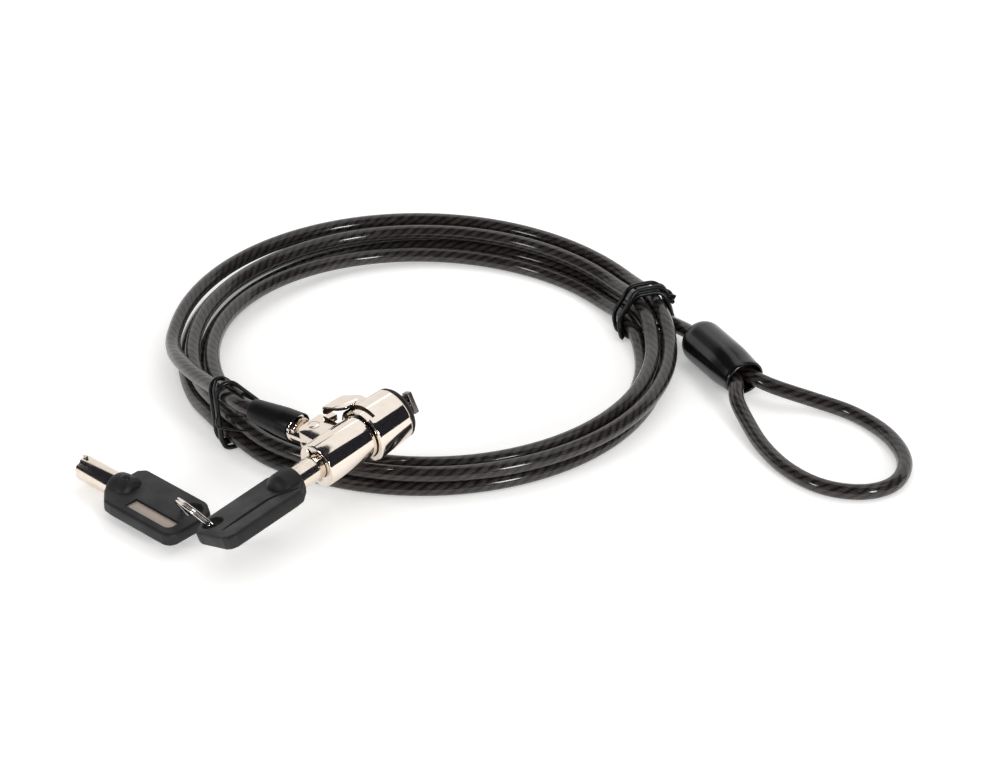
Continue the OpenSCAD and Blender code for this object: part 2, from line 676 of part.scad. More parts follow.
// The hood seen from above: its rear edge runs in towards the barrel, and its front edge to the collar
module hood_outline(inset, rear) {
    polygon([[hood_x + 6.6 - rear, 3], [hood_x + 6.6 - rear, 5.2], [hood_x + 4.2 - rear, 5.5],
             [hood_x + 2.5 - rear, 6.9], [hood_x - rear, hood_reach - inset],
             [hood_x + hood_edge + 0.3 - inset, hood_reach - 0.5 - inset],
             [hood_x + hood_edge + hood_front - 1.6 * inset, 6.4 - inset],
             [hood_x + hood_edge + hood_front - 1.6 * inset, 3]]);
}
module slide_collar() {
    wide_end = collar_x + collar_wide_depth;
    nose_r = collar_nose_d / 2;
    rim_r = ring_band_d / 2 - 0.9;
    rim_end = collar_x + 1.3;
    color(nickel) lock_frame() difference() {
        union() {
            difference() {
                turned([[0, collar_x], [ring_band_d / 2 - 0.35, collar_x], [ring_band_d / 2, collar_x + 0.35],
                        [collar_d / 2, collar_x + ring_band_w], [nose_r + 0.15, collar_end - 0.4],
                        [nose_r, collar_end], [0, collar_end]]);
                // The upper part of the rear edge stands back, beside the hood
                translate([collar_x - 1, 0, 0]) rotate([90, 0, 90]) linear_extrude(3.4) difference() {
                    polygon([[0, 0], [12 * cos(34), 12 * sin(34)], [8, 14], [-8, 14], [-12 * cos(61), 12 * sin(61)]]);
                    circle(r = rim_r, $fn = 96);
                }
            }
            translate([0, 0, hood_low]) linear_extrude(hood_top - hood_low) hood_outline(0, 0);
        }
        // Pocket of the hood, open to the rear and below
        translate([0, 0, hood_low - 1]) linear_extrude(hood_top - hood_low + 1 - hood_wall + 0.2)
            hood_outline(hood_wall, 1.2);
        // Bores: a recess in the rear face, the bore over the barrel, and that over the spigot
        translate([hood_x - 2, 0, 0]) rotate([0, 90, 0])
            cylinder(r = rim_r - 0.35, h = rim_end - hood_x + 2, $fn = 96);
        translate([hood_x - 2, 0, 0]) rotate([0, 90, 0])
            cylinder(r = wide_r, h = wide_end - hood_x + 2, $fn = 96);
        translate([collar_x, 0, 0]) rotate([0, 90, 0]) cylinder(r = slide_r, h = collar_len + 1, $fn = 96);
    }
}
module collar_spring() {
    free = collar_x + collar_wide_depth - barrel_len - spring_wire - 0.2;
    color(grey_steel) lock_frame() translate([barrel_len + spring_wire / 2 + 0.12, 0, 0])
        helix((spigot_d / 2 + wide_r) / 2, spring_wire, spring_coils, free, 18, 5);
}
wing_turn = 90 + key_roll - 4;
wing_inner = neck_bar_d / 2 + 0.15;
wing_outer = t_bar_len / 2 - 0.1;
wing_t = t_bar_w - 0.2;
module wing_bars(gap, x, l) {
    rotate([wing_turn, 0, 0]) for (side = [-1, 1])
        translate([x, side > 0 ? wing_inner - gap : -wing_outer - gap, -wing_t / 2 - gap])
            cube([l, wing_outer - wing_inner + 2 * gap, wing_t + 2 * gap]);
}
module slot_wings() {
    disc_x = collar_end - wing_disc_t - 0.1;
    color(dark_steel) lock_frame() difference() {
        union() {
            translate([disc_x, 0, 0]) rotate([0, 90, 0]) cylinder(r = slide_r - fix_gap, h = wing_disc_t, $fn = 96);
            wing_bars(0, disc_x + 0.1, t_bar_x - wing_gap - disc_x - 0.1);
        }
        translate([disc_x - 1, 0, 0]) rotate([0, 90, 0]) cylinder(d = spindle_d + 2 * pass_gap, h = wing_disc_t + 1, $fn = 48);
    }
}
module nose_cap() {
    back = collar_nose_d / 2 - 0.05;
    front = cap_front_d / 2;
    color(black) lock_frame() difference() {
        turned([[neck_bar_d / 2 + 0.3, collar_end], [back, collar_end], [back, collar_end + cap_len * 0.45],
                [front, cap_end - 0.35], [front - 0.5, cap_end], [neck_bar_d / 2 + 0.3, cap_end]]);
        wing_bars(fix_gap, collar_end - 1, cap_len + 2);
    }
}

// ---------- what turns with the key ----------

module cylinder_plug() {
    slot_w = 1.1;
    color(brass_tone) lock_frame() rotate([key_roll, 0, 0]) difference() {
        turned([[0, 0.5], [post_d / 2 - 0.3, 0.5], [post_d / 2, 0.8], [post_d / 2, flange_x],
                [plug_d / 2, flange_x], [plug_d / 2, shear_x], [stem_d / 2, shear_x], [stem_d / 2, clip_x],
                [stem_d / 2 - 0.35, clip_x], [stem_d / 2 - 0.35, clip_x + clip_t],
                [stem_d / 2, clip_x + clip_t], [stem_d / 2, stem_end], [0, stem_end]]);
        // Slot that the key's inner lug turns
        translate([-1, -slot_w / 2, -post_d / 2 - 1]) cube([flange_x + 1, slot_w, 1.5]);
        // Pin holes
        rotate([-key_roll, 0, 0]) at_pins(flange_x - 0.5) cylinder(r = pin_r + run_gap, h = plug_t + 1, $fn = 24);
        // Slot for the spindle's tang
        translate([stem_end - tang_len, -stem_d, -tang_t / 2 - run_gap]) cube([tang_len + 1, 2 * stem_d, tang_t + 2 * run_gap]);
    }
}
tang_len = 1.4;
tang_t = 1.1;
module key_pins() {
    color(brass_tone) lock_frame() at_pins(key_tip_x + 0.03)
        cylinder(r = pin_r, h = shear_x - key_tip_x - 0.05, $fn = 24);
}
module retaining_clip() {
    groove_r = stem_d / 2 - 0.35;
    color(grey_steel) lock_frame() rotate([key_roll, 0, 0]) difference() {
        translate([clip_x + 0.03, 0, 0]) rotate([0, 90, 0]) cylinder(r = 3.3, h = clip_t - 0.06, $fn = 64);
        translate([clip_x - 1, 0, 0]) rotate([0, 90, 0]) cylinder(r = groove_r + fix_gap, h = 3, $fn = 48);
        translate([clip_x - 1, -groove_r * 0.9, 0]) cube([3, groove_r * 1.8, 5]);
        for (side = [-1, 1])
            rotate([side * 70, 0, 0]) translate([clip_x - 1, 0, 2.6]) rotate([0, 90, 0]) cylinder(r = 0.7, h = 3, $fn = 32);
    }
}
module stop_cam() {
    margin = 13;
    notch = key_turn + 2 * margin;
    color(grey_steel) lock_frame() difference() {
        translate([cam_x, 0, 0]) rotate([0, 90, 0]) cylinder(d = cam_d, h = cam_t, $fn = 96);
        translate([cam_x - 1, 0, 0]) rotate([0, 90, 0]) cylinder(d = spindle_d + 2 * fix_gap, h = cam_t + 2, $fn = 64);
        // The notch that the stop pin stands in: the pin points down, and the cam turns upwards
        rotate([0, 90, 0]) translate([0, 0, cam_x - 1]) rotate([0, 0, -margin - key_turn])
            rotate_extrude(angle = notch, $fn = 96) translate([cam_d / 2 - 1.45, 0]) square([3, cam_t + 2]);
    }
}
module t_bar_spindle() {
    color(grey_steel) lock_frame() {
        turned([[0, stem_end + 0.02], [spindle_d / 2, stem_end + 0.02], [spindle_d / 2, step_x],
                [neck_bar_d / 2, step_x], [neck_bar_d / 2, t_bar_x + 0.2], [0, t_bar_x + 0.2]]);
        rotate([key_roll, 0, 0]) translate([stem_end - tang_len + 0.05, -1.3, -tang_t / 2])
            cube([tang_len + 0.2, 2.6, tang_t]);
        rotate([wing_turn, 0, 0]) translate([t_bar_x, -t_bar_len / 2, -t_bar_w / 2])
            cube([t_bar_t, t_bar_len, t_bar_w]);
    }
}

// ---------- keys: x runs from the bow to the tip, the badge faces up ----------

socket_len = 5.6;
module key_tube_form() {
    lug_w = 0.9;
    difference() {
        turned([[tube_bore_d / 2, -socket_len], [tube_d / 2, -socket_len], [tube_d / 2, tube_len - 0.25],
                [tube_d / 2 - 0.25, tube_len], [tube_bore_d / 2, tube_len]]);
        // Bitting: shallow cuts in the tip where the pins bear
        for (k = [0 : pin_count - 1])
            rotate([360 * k / pin_count + pin_phase, 0, 0])
                translate([tube_len - 0.02, 0, pin_circle_d / 2]) rotate([0, 90, 0]) cylinder(r = 0.6, h = 1, $fn = 24);
    }
    // Outer nib and inner lug
    translate([tube_len - 1.4, -0.5, tube_d / 2 - 0.3]) cube([1.2, 1, nib_d / 2 - tube_d / 2 + 0.25]);
    translate([tube_len - 1.4, -lug_w / 2, tube_bore_d / 2 - 0.4]) cube([1.3, lug_w, 0.6]);
}
hole_bevel = 0.8;
badge_x = -10.4;
badge_y = 4.6 + grip_shift;
// Plan of the bow, drawn in by an inset
module bow_outline(inset) {
    w = bow_w / 2 - inset;
    l = bow_len - inset;
    polygon([[-inset, -w + 2], [-1.8, -w], [-l + 5, -w], [-l + 0.9, -w + 2.6], [-l, -w + 5],
             [-l, w - 2.6], [-l + 0.8, w - 0.9], [-l + 2.6, w], [-7, w], [-4.2, w - 0.4], [-inset, w - 4.4]]);
}
module key_bow_form() {
    bevel = 0.9;
    top = bow_offset + bow_t / 2;
    low = bow_offset - bow_t / 2;
    difference() {
        union() {
            hull() {
                translate([0, grip_shift, low + bevel]) linear_extrude(bow_t - 2 * bevel) bow_outline(0);
                translate([0, grip_shift, low]) linear_extrude(bow_t) bow_outline(bevel);
            }
            translate([0, grip_shift, 0])
            turned([[0, 0.6], [hub_d / 2 - 0.6, 0.6], [hub_d / 2 - 0.2, 0], [hub_d / 2, -1.2],
                    [hub_d / 2, -hub_len + 2.4], [hub_d / 2 - 0.6, -hub_len + 1.1],
                    [hub_d / 2 - 1.7, -hub_len + 0.3], [hub_d / 2 - 2.8, -hub_len], [0, -hub_len]]);
        }
        // Socket for the tube
        translate([-socket_len - 0.02, 0, 0]) rotate([0, 90, 0]) cylinder(r = tube_d / 2 + fix_gap, h = socket_len + 2, $fn = 96);
        // Hole for the ring, bevelled at both faces
        translate(hole_point) {
            translate([0, 0, -bow_t]) cylinder(d = ring_hole_d, h = 2 * bow_t, $fn = 64);
            for (side = [0, 180]) rotate([side, 0, 0]) translate([0, 0, bow_t / 2 - hole_bevel])
                cylinder(r1 = ring_hole_d / 2, r2 = ring_hole_d / 2 + 2 * hole_bevel, h = 2 * hole_bevel, $fn = 64);
        }
        // Window for the badge, and the long groove on the other face
        translate([badge_x - badge_len, badge_y - badge_w / 2, top - 1.1]) cube([badge_len, badge_w, 2]);
        translate([badge_x - badge_len, 2.6 + grip_shift, low - 1]) cube([badge_len + 1.5, 0.7, 1.5]);
    }
}
module key_badge_form() {
    gap = 0.05;
    translate([badge_x - badge_len + gap, badge_y - badge_w / 2 + gap, bow_offset + bow_t / 2 - 1.1 + fix_gap])
        cube([badge_len - 2 * gap, badge_w - 2 * gap, badge_t]);
}
module key_1_frame() {
    lock_frame() translate([key_depth - tube_len, 0, 0]) rotate([180 + key_roll, 0, 0]) children();
}
module key_2_frame() {
    translate([key_2_at.x, key_2_at.y, hub_d / 2]) rotate([0, 0, key_2_turn]) children();
}
module key_1_tube() { color(nickel) key_1_frame() key_tube_form(); }
module key_1_bow() { color(black) key_1_frame() key_bow_form(); }
module key_1_badge() { color(nickel) key_1_frame() key_badge_form(); }
module key_2_tube() { color(nickel) key_2_frame() key_tube_form(); }
module key_2_bow() { color(black) key_2_frame() key_bow_form(); }
module key_2_badge() { color(nickel) key_2_frame() key_badge_form(); }

// ---------- split ring through the holes of both bows ----------

// The ring hangs in the second hole nearer to the tube than the hole's middle
ring_off = [0.8, 0, 0];
hole_2 = key_2_place(hole_point + ring_off);
key_ring_r = key_ring_d / 2;
ring_lean = unit([-0.73, 0.36, 0.46]);
chord = unit(hole_1 - hole_2);
ring_up = unit(ring_lean - (ring_lean * chord) * chord);
ring_normal = cross(chord, ring_up);
half_chord = norm(hole_1 - hole_2) / 2;
ring_centre = (hole_1 + hole_2) / 2 + ring_up * sqrt(max(key_ring_r * key_ring_r - half_chord * half_chord, 0));
module key_ring() {
    // Two turns of wire side by side, drawn as one flat band
    yaw = atan2(ring_normal.y, ring_normal.x);
    pitch = acos(ring_normal.z);
    color(grey_steel) translate(ring_centre) rotate([0, 0, yaw]) rotate([0, pitch, 0])
        rotate_extrude($fn = 96) for (side = [-1, 1])
            translate([key_ring_r, side * key_ring_wire * 0.46]) circle(d = key_ring_wire, $fn = 16);
}

// ---------- numbers that a reader may want ----------

echo(str("coil least gap mm ", coil_gap));
echo(str("length of coil mm ", path_length(coil_path), " lead ", path_length(lead_path),
         " eye lead ", path_length(eye_lead_path), " loop ", path_length(loop_path)));
echo(pivot = lock_place([rivet_x, rivet_y, tongue_rise]), pivot_axis = lock_dir([0, 0, 1]));
echo(barrel_axis = lock_dir([1, 0, 0]), rear_face = lock_at);
echo(t_bar_face = lock_place([t_bar_x + t_bar_t, 0, 0]), hole_1 = hole_1, hole_2 = hole_2);
echo(ring_centre = ring_centre, ring_normal = ring_normal, half_chord = half_chord);
echo(ring_low = ring_centre.z - key_ring_r * sqrt(1 - ring_normal.z * ring_normal.z));

cable_coil();
lock_lead();
eye_lead();
eye_loop();
eye_sleeve();
eye_crimp();
left_tie();
right_tie();
lock_boot();
cable_end_fitting();
lock_housing();
pivot_rivet();
cylinder_shell();
driver_pins();
pin_springs();
shell_pin();
stop_pin();
spindle_bush();
slide_collar();
nose_cap();
slot_wings();
collar_spring();
cylinder_plug();
t_bar_spindle();
key_pins();
retaining_clip();
stop_cam();
key_1_tube();
key_1_bow();
key_1_badge();
key_ring();
key_2_tube();
key_2_bow();
key_2_badge();
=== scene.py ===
"""Cable lock for a laptop: a coiled, sheathed steel cable with an anchor eye, a pivoting T-bar lock head and
two tubular keys on a split ring. Shapes are worked out in millimetres in the lock's, the keys' and the eye's
own frames, which are those of the CAD, and written into the meshes in metres in the row frame."""
import bmesh
import bpy
import numpy as np
from mathutils import Matrix


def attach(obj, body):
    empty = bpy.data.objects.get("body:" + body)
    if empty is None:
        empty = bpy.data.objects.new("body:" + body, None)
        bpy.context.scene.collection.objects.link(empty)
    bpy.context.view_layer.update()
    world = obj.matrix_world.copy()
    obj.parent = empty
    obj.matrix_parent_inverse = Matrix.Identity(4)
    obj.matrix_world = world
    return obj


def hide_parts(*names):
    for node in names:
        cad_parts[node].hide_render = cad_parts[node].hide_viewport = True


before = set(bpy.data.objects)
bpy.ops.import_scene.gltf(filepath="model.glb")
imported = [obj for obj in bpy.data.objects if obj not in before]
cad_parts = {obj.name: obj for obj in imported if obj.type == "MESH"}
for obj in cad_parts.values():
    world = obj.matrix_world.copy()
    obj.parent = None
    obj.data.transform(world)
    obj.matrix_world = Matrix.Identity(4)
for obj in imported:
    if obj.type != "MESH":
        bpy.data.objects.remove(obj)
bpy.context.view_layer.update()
scene = bpy.context.scene
scene.view_settings.view_transform = "Standard"

# ---------- camera ----------

view = bpy.data.cameras.new("view")
view.lens, view.sensor_width = 124.92, 36
view.clip_start, view.clip_end = 0.05, 20
camera = bpy.data.objects.new("camera", view)
camera.location = (0.06927, -0.77684, 0.5299)
camera.rotation_euler = (np.radians(58.0), 0, 0)
scene.collection.objects.link(camera)
scene.camera = camera

# ---------- frames and small vector sums ----------


def turned_by(axis, degrees):
    """Rotation matrix about x, y or z, right-handed."""
    return np.array(Matrix.Rotation(np.radians(degrees), 3, axis))


def frame_in(outer, matrix, origin):
    """A frame given inside another one: (matrix, origin) of the row frame."""
    return outer[0] @ matrix, outer[1] + outer[0] @ np.asarray(origin, float)


def put(place, points):
    """Points of a frame in the row frame, in millimetres: origin + matrix * point."""
    return place[1] + np.asarray(points, float) @ place[0].T


def unit(v):
    """Each vector over its length."""
    v = np.asarray(v, float)
    return v / np.maximum(np.linalg.norm(v, axis=-1, keepdims=True), 1e-12)


def smooth(t):
    """The step 3t^2 - 2t^3, held at 0 and 1."""
    k = np.clip(t, 0, 1)
    return k * k * (3 - 2 * k)


# The part's own frames: x runs along the lock towards the T-bar, along a key from its ring to its tip, out of
# the boot towards the coil, and from the coil into the eye.
TABLE = (np.eye(3), np.zeros(3))
COIL_AT = np.array([48.67, 80.76, 0.0])
LOCK = frame_in(TABLE, turned_by("Z", 45.2) @ turned_by("Y", -7), COIL_AT + [-28.85, -77.5, 16.55])
RIVET = (8.5, 9.3)
BOOT = frame_in(LOCK, turned_by("Z", 98), [*RIVET, 1.0])
KEY_1 = frame_in(LOCK, turned_by("X", 161), [-8.8, 0, 0])
HOLE = np.array([-25.2, -3.6, 0.5])
HOLE_SPAN = [-7.295, 14.490]
KEY_2_TURN, KEY_2_HEIGHT = turned_by("Z", 137.5), 4.9
KEY_2_AT = put(KEY_1, HOLE)[:2] + HOLE_SPAN - (KEY_2_TURN @ HOLE)[:2]
KEY_2 = frame_in(TABLE, KEY_2_TURN, [*KEY_2_AT, KEY_2_HEIGHT])
EYE = frame_in(TABLE, turned_by("Z", -61.3), COIL_AT + [77.6, 6.6, 6.5])

# ---------- route of the cable ----------

CABLE_D = 4.4
# Angles of the ties round the coil, by the lock and by the eye, and of the coil's start
TIES, COIL_START = (214.0, 17.0), 172.0
MIDDLE = sum(TIES) / 2
COIL_FIRST, COIL_LAST = -2 - (COIL_START - MIDDLE) / 360, 2 + (MIDDLE - TIES[1]) / 360
INNER_R, DEPTH_SHARE = 61.4, 0.98
LOOP_STEP, SPREAD_STEP = 5, 3
LAYER_STEP, LAYER_SHIFT = 4.9, 1.2
TIE_LIFT = 1.6
# Points of the free stretch from the boot to the coil, and of the anchor loop, from the coil's middle
LEAD = [[-57.7, -38.1, 15.8], [-62.4, -29.7, 13.8], [-66.8, -21.9, 12.0], [-71.1, -11.9, 9.8],
        [-73.4, -4.2, 7.9]]
LOOP = [[96.6, -19.2, 6.2], [102.6, -21.4, 5.0], [110.6, -23.4, 3.2], [121.0, -29.0, 2.2],
        [129.4, -40.0, 2.2], [132.8, -53.0, 2.2], [129.2, -64.0, 2.2], [120.4, -68.6, 2.2],
        [109.4, -66.2, 2.2], [100.2, -57.6, 2.2], [93.8, -45.6, 2.4], [89.8, -33.6, 3.6], [87.6, -25.6, 5.4]]
LOOP_LEG_OFF = 2.35


def between(a, b):
    """The angle from b to a, from -180 to 180 degrees."""
    return (a - b + 180) % 360 - 180


def lowered(u):
    """Share of the step from the upper layer down to the lower one, taken over 0.4 of a loop."""
    return smooth((u + 0.22) / 0.4)


def loop_radius(u):
    """Radius of the coil's line: inner radius, less the lower layer's shift, plus a step for each loop from
    the middle one, wider between the ties."""
    off = np.abs(between(MIDDLE - 360 * u, MIDDLE))
    half = (TIES[0] - TIES[1]) / 2
    spread = np.where(off < half, np.cos(np.pi / 2 * off / half) ** 2, 0)
    return INNER_R - LAYER_SHIFT * lowered(u) + (LOOP_STEP + SPREAD_STEP * spread) * np.sqrt(u * u + 0.01)


def loop_height(u):
    """Height of the coil's line: one layer down along the change-over, and lifted where a tie passes under
    it."""
    near = [smooth(1.6 - np.abs(between(MIDDLE - 360 * u, t)) / 10) for t in TIES]
    return CABLE_D / 2 + LAYER_STEP * (1 - lowered(u)) + TIE_LIFT * np.maximum(*near)


def coil_line(u):
    """The coil as a spiral in two layers: (r cos a, share of depth times r sin a, z), a = middle - 360 u."""
    a, r = np.radians(MIDDLE - 360 * u), loop_radius(u)
    return COIL_AT + np.stack([r * np.cos(a), DEPTH_SHARE * r * np.sin(a), loop_height(u)], -1)


def through(points, steps):
    """Catmull-Rom curve through the points: the usual cubic of four neighbours on each span."""
    p = np.asarray(points, float)
    q = np.concatenate([p[:1], p, p[-1:]])
    a, b, c, d = (q[k:len(q) - 3 + k, None] for k in range(4))
    t = np.linspace(0, 1, steps, endpoint=False)[None, :, None]
    bent = (2 * a - 5 * b + 4 * c - d) * t ** 2 + (3 * b - a - 3 * c + d) * t ** 3
    line = 0.5 * (2 * b + (c - a) * t + bent)
    return np.concatenate([line.reshape(-1, p.shape[1]), p[-1:]])


def spaced(line, step):
    """The same line with points at equal steps of its length."""
    line = line[np.r_[True, np.linalg.norm(np.diff(line, axis=0), axis=1) > 1e-6]]
    run = np.r_[0, np.cumsum(np.linalg.norm(np.diff(line, axis=0), axis=1))]
    at = np.linspace(0, run[-1], int(round(run[-1] / step)) + 1)
    return np.stack([np.interp(at, run, line[:, k]) for k in range(3)], -1)


def eased(line, reach):
    """The line with each point the bell-shaped average of its neighbours; both ends run on straight."""
    k = np.arange(1, 3 * reach + 1)[:, None]
    before, after = line[0] - k * (line[1] - line[0]), line[-1] + k * (line[-1] - line[-2])
    full = np.concatenate([before[::-1], line, after])
    bell = np.exp(-0.5 * (np.arange(-3 * reach, 3 * reach + 1) / reach) ** 2)
    return np.stack([np.convolve(full[:, c], bell / bell.sum(), "valid") for c in range(3)], -1)


# The coil ends on a whole step of 15 degrees, as the CAD's does.
turns = np.linspace(COIL_FIRST, COIL_FIRST + round((COIL_LAST - COIL_FIRST) * 24) / 24, 1400)
wound = coil_line(turns)
start_dir, end_dir = unit(wound[1] - wound[0]), unit(wound[-1] - wound[-2])
run_in, run_out = wound[0] - 1.5 * CABLE_D * start_dir, wound[-1] + 1.5 * CABLE_D * end_dir
lead_in = through([put(BOOT, [26.6, 0, 0]), *(COIL_AT + LEAD), run_in], 16)
lead_out = through([run_out, put(EYE, [-2.2, 0, 0])], 8)
in_boot, in_sleeve = put(BOOT, [[17.2, 0, 0], [21.2, 0, 0]]), put(EYE, [[0, 0, 0], [3, 0, 0]])
cable_line = eased(spaced(np.concatenate([in_boot, lead_in, wound, lead_out, in_sleeve]), 1.0), 3)
legs = put(EYE, [[x, y * LOOP_LEG_OFF, 0] for x, y in ((22, 1), (26.4, 1), (26.4, -1), (22, -1))])
loop_way = through([legs[1], *(COIL_AT + LOOP), legs[2]], 12)
loop_line = eased(spaced(np.concatenate([legs[:1], loop_way, legs[3:]]), 0.8), 2)


# ---------- surfaces ----------


def skin(rows, columns, round_=True, closed=False):
    """Faces of a grid: each face joins four neighbours; round_ joins the last column to the first, closed the
    rows."""
    i = np.arange(rows if closed else rows - 1)[:, None]
    j = np.arange(columns if round_ else columns - 1)[None]
    k, l = (i + 1) % rows, (j + 1) % columns
    four = [i * columns + j, i * columns + l, k * columns + l, k * columns + j]
    return np.stack(four, -1).reshape(-1, 4).tolist()


def joined(*shapes):
    """Several closed shapes as one list of points and faces."""
    points, faces, n = [], [], 0
    for p, f in shapes:
        points.append(p)
        faces += [[v + n for v in face] for face in f]
        n += len(p)
    return np.concatenate(points), faces


def moved(place, shape):
    """A shape taken from its frame into the one that holds it."""
    return put(place, shape[0]), shape[1]


def rounded(corners, radius, steps=5):
    """Closed outline with each corner turned into an arc that touches both sides."""
    p = np.asarray(corners, float)
    a, b = np.roll(p, 1, 0) - p, np.roll(p, -1, 0) - p
    u, v = unit(a), unit(b)
    half = 0.5 * np.arccos(np.clip((u * v).sum(1), -1, 1))
    room = 0.48 * np.minimum(np.linalg.norm(a, axis=1), np.linalg.norm(b, axis=1))
    cut = np.minimum(np.broadcast_to(radius, len(p)) / np.tan(half), room)
    centre = p + unit(u + v) * (cut / np.cos(half))[:, None]
    w = (np.pi - 2 * half)[:, None, None]
    t = np.linspace(0, 1, steps)[None, :, None]
    s, e = (p + u * cut[:, None] - centre)[:, None], (p + v * cut[:, None] - centre)[:, None]
    return (centre[:, None] + (np.sin((1 - t) * w) * s + np.sin(t * w) * e) / np.sin(w)).reshape(-1, 2)


def lathe(profile, radius=0.2, sides=128, steps=5, solid=False, bend=None):
    """A profile of (x, r) with softened corners, carried round the x axis: (x, r cos a, r sin a). A solid one
    starts and ends on the axis; bend(x, r, a) may change r."""
    p = rounded(profile, radius, steps)
    if solid:
        p = p[steps // 2: len(p) - steps + steps // 2 + 1]
    a = np.linspace(0, 2 * np.pi, sides, endpoint=False)[None]
    x, r = p[:, :1] + 0 * a, p[:, 1:] + 0 * a
    r = r if bend is None else bend(x, r, a)
    grid = np.stack([x, r * np.cos(a), r * np.sin(a)], -1)
    return grid.reshape(-1, 3), skin(len(p), sides, True, not solid)


def inset(outline, by):
    """The outline drawn in by a distance along its own normals."""
    d = unit(np.roll(outline, -1, 0) - np.roll(outline, 1, 0))
    area = np.sum(outline[:, 0] * np.roll(outline[:, 1], -1) - outline[:, 1] * np.roll(outline[:, 0], -1))
    return outline + np.sign(area) * by * np.stack([-d[:, 1], d[:, 0]], -1)


def slab(outline, low, high, edge=0.2, steps=4):
    """An outline carried up from low to high, its upper and lower edges quarter-round: drawn in by
    edge (1 - sin t) at edge (1 - cos t) from each face."""
    t = np.linspace(0, np.pi / 2, steps)
    draw, rise = edge * (1 - np.sin(t)), edge * (1 - np.cos(t))
    draw, z = np.r_[draw, draw[::-1]], np.r_[low + rise, (high - rise)[::-1]]
    grid = np.stack([np.c_[inset(outline, d), np.full(len(outline), h)] for d, h in zip(draw, z)])
    n = len(outline)
    caps = [list(range(n))[::-1], list(range(len(grid) * n - n, len(grid) * n))]
    return grid.reshape(-1, 3), skin(len(grid), n) + caps


def disc(radius, at=(0, 0), sides=64):
    """A round outline."""
    a = np.linspace(0, 2 * np.pi, sides, endpoint=False)
    return np.stack([at[0] + radius * np.cos(a), at[1] + radius * np.sin(a)], -1)


def hose(line, diameter, sides=20, side_of=(0, 0, 1), taper=None):
    """A round section carried along a line: line + r (cos a s + sin a n), where s is square to the line and
    to side_of, and taper scales r. Its map is (share of the way round, metres along)."""
    t = unit(np.gradient(line, axis=0))
    s = unit(np.cross(t, side_of))
    n = np.cross(s, t)
    r = diameter / 2 * (np.ones(len(line)) if taper is None else taper)
    a = np.linspace(0, 2 * np.pi, sides, endpoint=False)[None, :, None]
    grid = line[:, None] + r[:, None, None] * (np.cos(a) * s[:, None] + np.sin(a) * n[:, None])
    rows = len(line)
    faces = skin(rows, sides) + [list(range(sides))[::-1], list(range(rows * sides - sides, rows * sides))]
    run = np.r_[0, np.cumsum(np.linalg.norm(np.diff(line, axis=0), axis=1))] / 1000
    i, j = np.meshgrid(np.arange(rows - 1), np.arange(sides), indexing="ij")
    around = np.stack([j, j + 1, j + 1, j], -1) / sides
    along = np.stack([run[i], run[i], run[i + 1], run[i + 1]], -1)
    chart = np.concatenate([np.stack([around, along], -1).reshape(-1, 2), np.zeros((2 * sides, 2))])
    return grid.reshape(-1, 3), faces, chart


def mesh_object(name, shape, place=TABLE):
    """A mesh object of a shape in millimetres, written in metres, doubles merged and faces outwards."""
    mesh = bpy.data.meshes.new(name)
    mesh.from_pydata((put(place, shape[0]) / 1000).tolist(), [], shape[1])
    if len(shape) > 2:
        layer = mesh.uv_layers.new(name="run")
        layer.data.foreach_set("uv", np.asarray(shape[2], np.float32).ravel())
    b = bmesh.new()
    b.from_mesh(mesh)
    bmesh.ops.remove_doubles(b, verts=b.verts, dist=2e-7)
    bmesh.ops.recalc_face_normals(b, faces=b.faces)
    b.to_mesh(mesh)
    b.free()
    thing = bpy.data.objects.new(name, mesh)
    scene.collection.objects.link(thing)
    return thing


def carved(thing, *cutters, union=()):
    """Takes closed shapes out of a piece, or adds them to it, and keeps the result as its mesh."""
    tools = [(c, "DIFFERENCE") for c in cutters] + [(c, "UNION") for c in union]
    for tool, kind in tools:
        m = thing.modifiers.new("cut", "BOOLEAN")
        m.operation, m.solver, m.object = kind, "EXACT", tool
    mesh = bpy.data.meshes.new_from_object(thing.evaluated_get(bpy.context.evaluated_depsgraph_get()))
    thing.modifiers.clear()
    thing.data = mesh
    for tool, _ in tools:
        bpy.data.objects.remove(tool)
    return thing


def shape_of(thing):
    """Takes an object's points and faces back, in millimetres, and removes it."""
    co = np.zeros(len(thing.data.vertices) * 3)
    thing.data.vertices.foreach_get("co", co)
    shape = (co.reshape(-1, 3) * 1000, [list(p.vertices) for p in thing.data.polygons])
    bpy.data.objects.remove(thing)
    return shape


def finished(thing, body, material, stands_for, sharp=38):
    """Gives a piece its finish, its body and the nodes it replaces; edges steeper than sharp stay
    crisp."""
    thing.data.materials.clear()
    thing.data.materials.append(material)
    thing.data.shade_smooth()
    thing.data.set_sharp_from_angle(angle=np.radians(sharp))
    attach(thing, body)
    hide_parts(*stands_for)
    return thing


# ---------- materials ----------


def paint(code):
    """An sRGB hex colour as linear light: c / 12.92 if dark, else ((c + 0.055) / 1.055) to the power 2.4."""
    c = np.array([int(code[k:k + 2], 16) for k in (1, 3, 5)]) / 255
    return (*np.where(c <= 0.04045, c / 12.92, ((c + 0.055) / 1.055) ** 2.4), 1.0)


def add(tree, kind, *values, out=0, **named):
    """Adds a node and gives one of its outputs, or the node if it has none. Values go to its sockets in
    order, and a named value to the socket of that name, or else to the setting; an underscore in a socket's
    name stands for a space. A value that is itself a socket is linked."""
    n = tree.nodes.new("ShaderNode" + kind)
    sockets = dict(enumerate(values))
    for key, value in named.items():
        if key.replace("_", " ") in n.inputs:
            sockets[key.replace("_", " ")] = value
        else:
            setattr(n, key, value)
    for key, value in sockets.items():
        if isinstance(value, bpy.types.NodeSocket):
            tree.links.new(value, n.inputs[key])
        else:
            n.inputs[key].default_value = value
    return n.outputs[out] if n.outputs else n


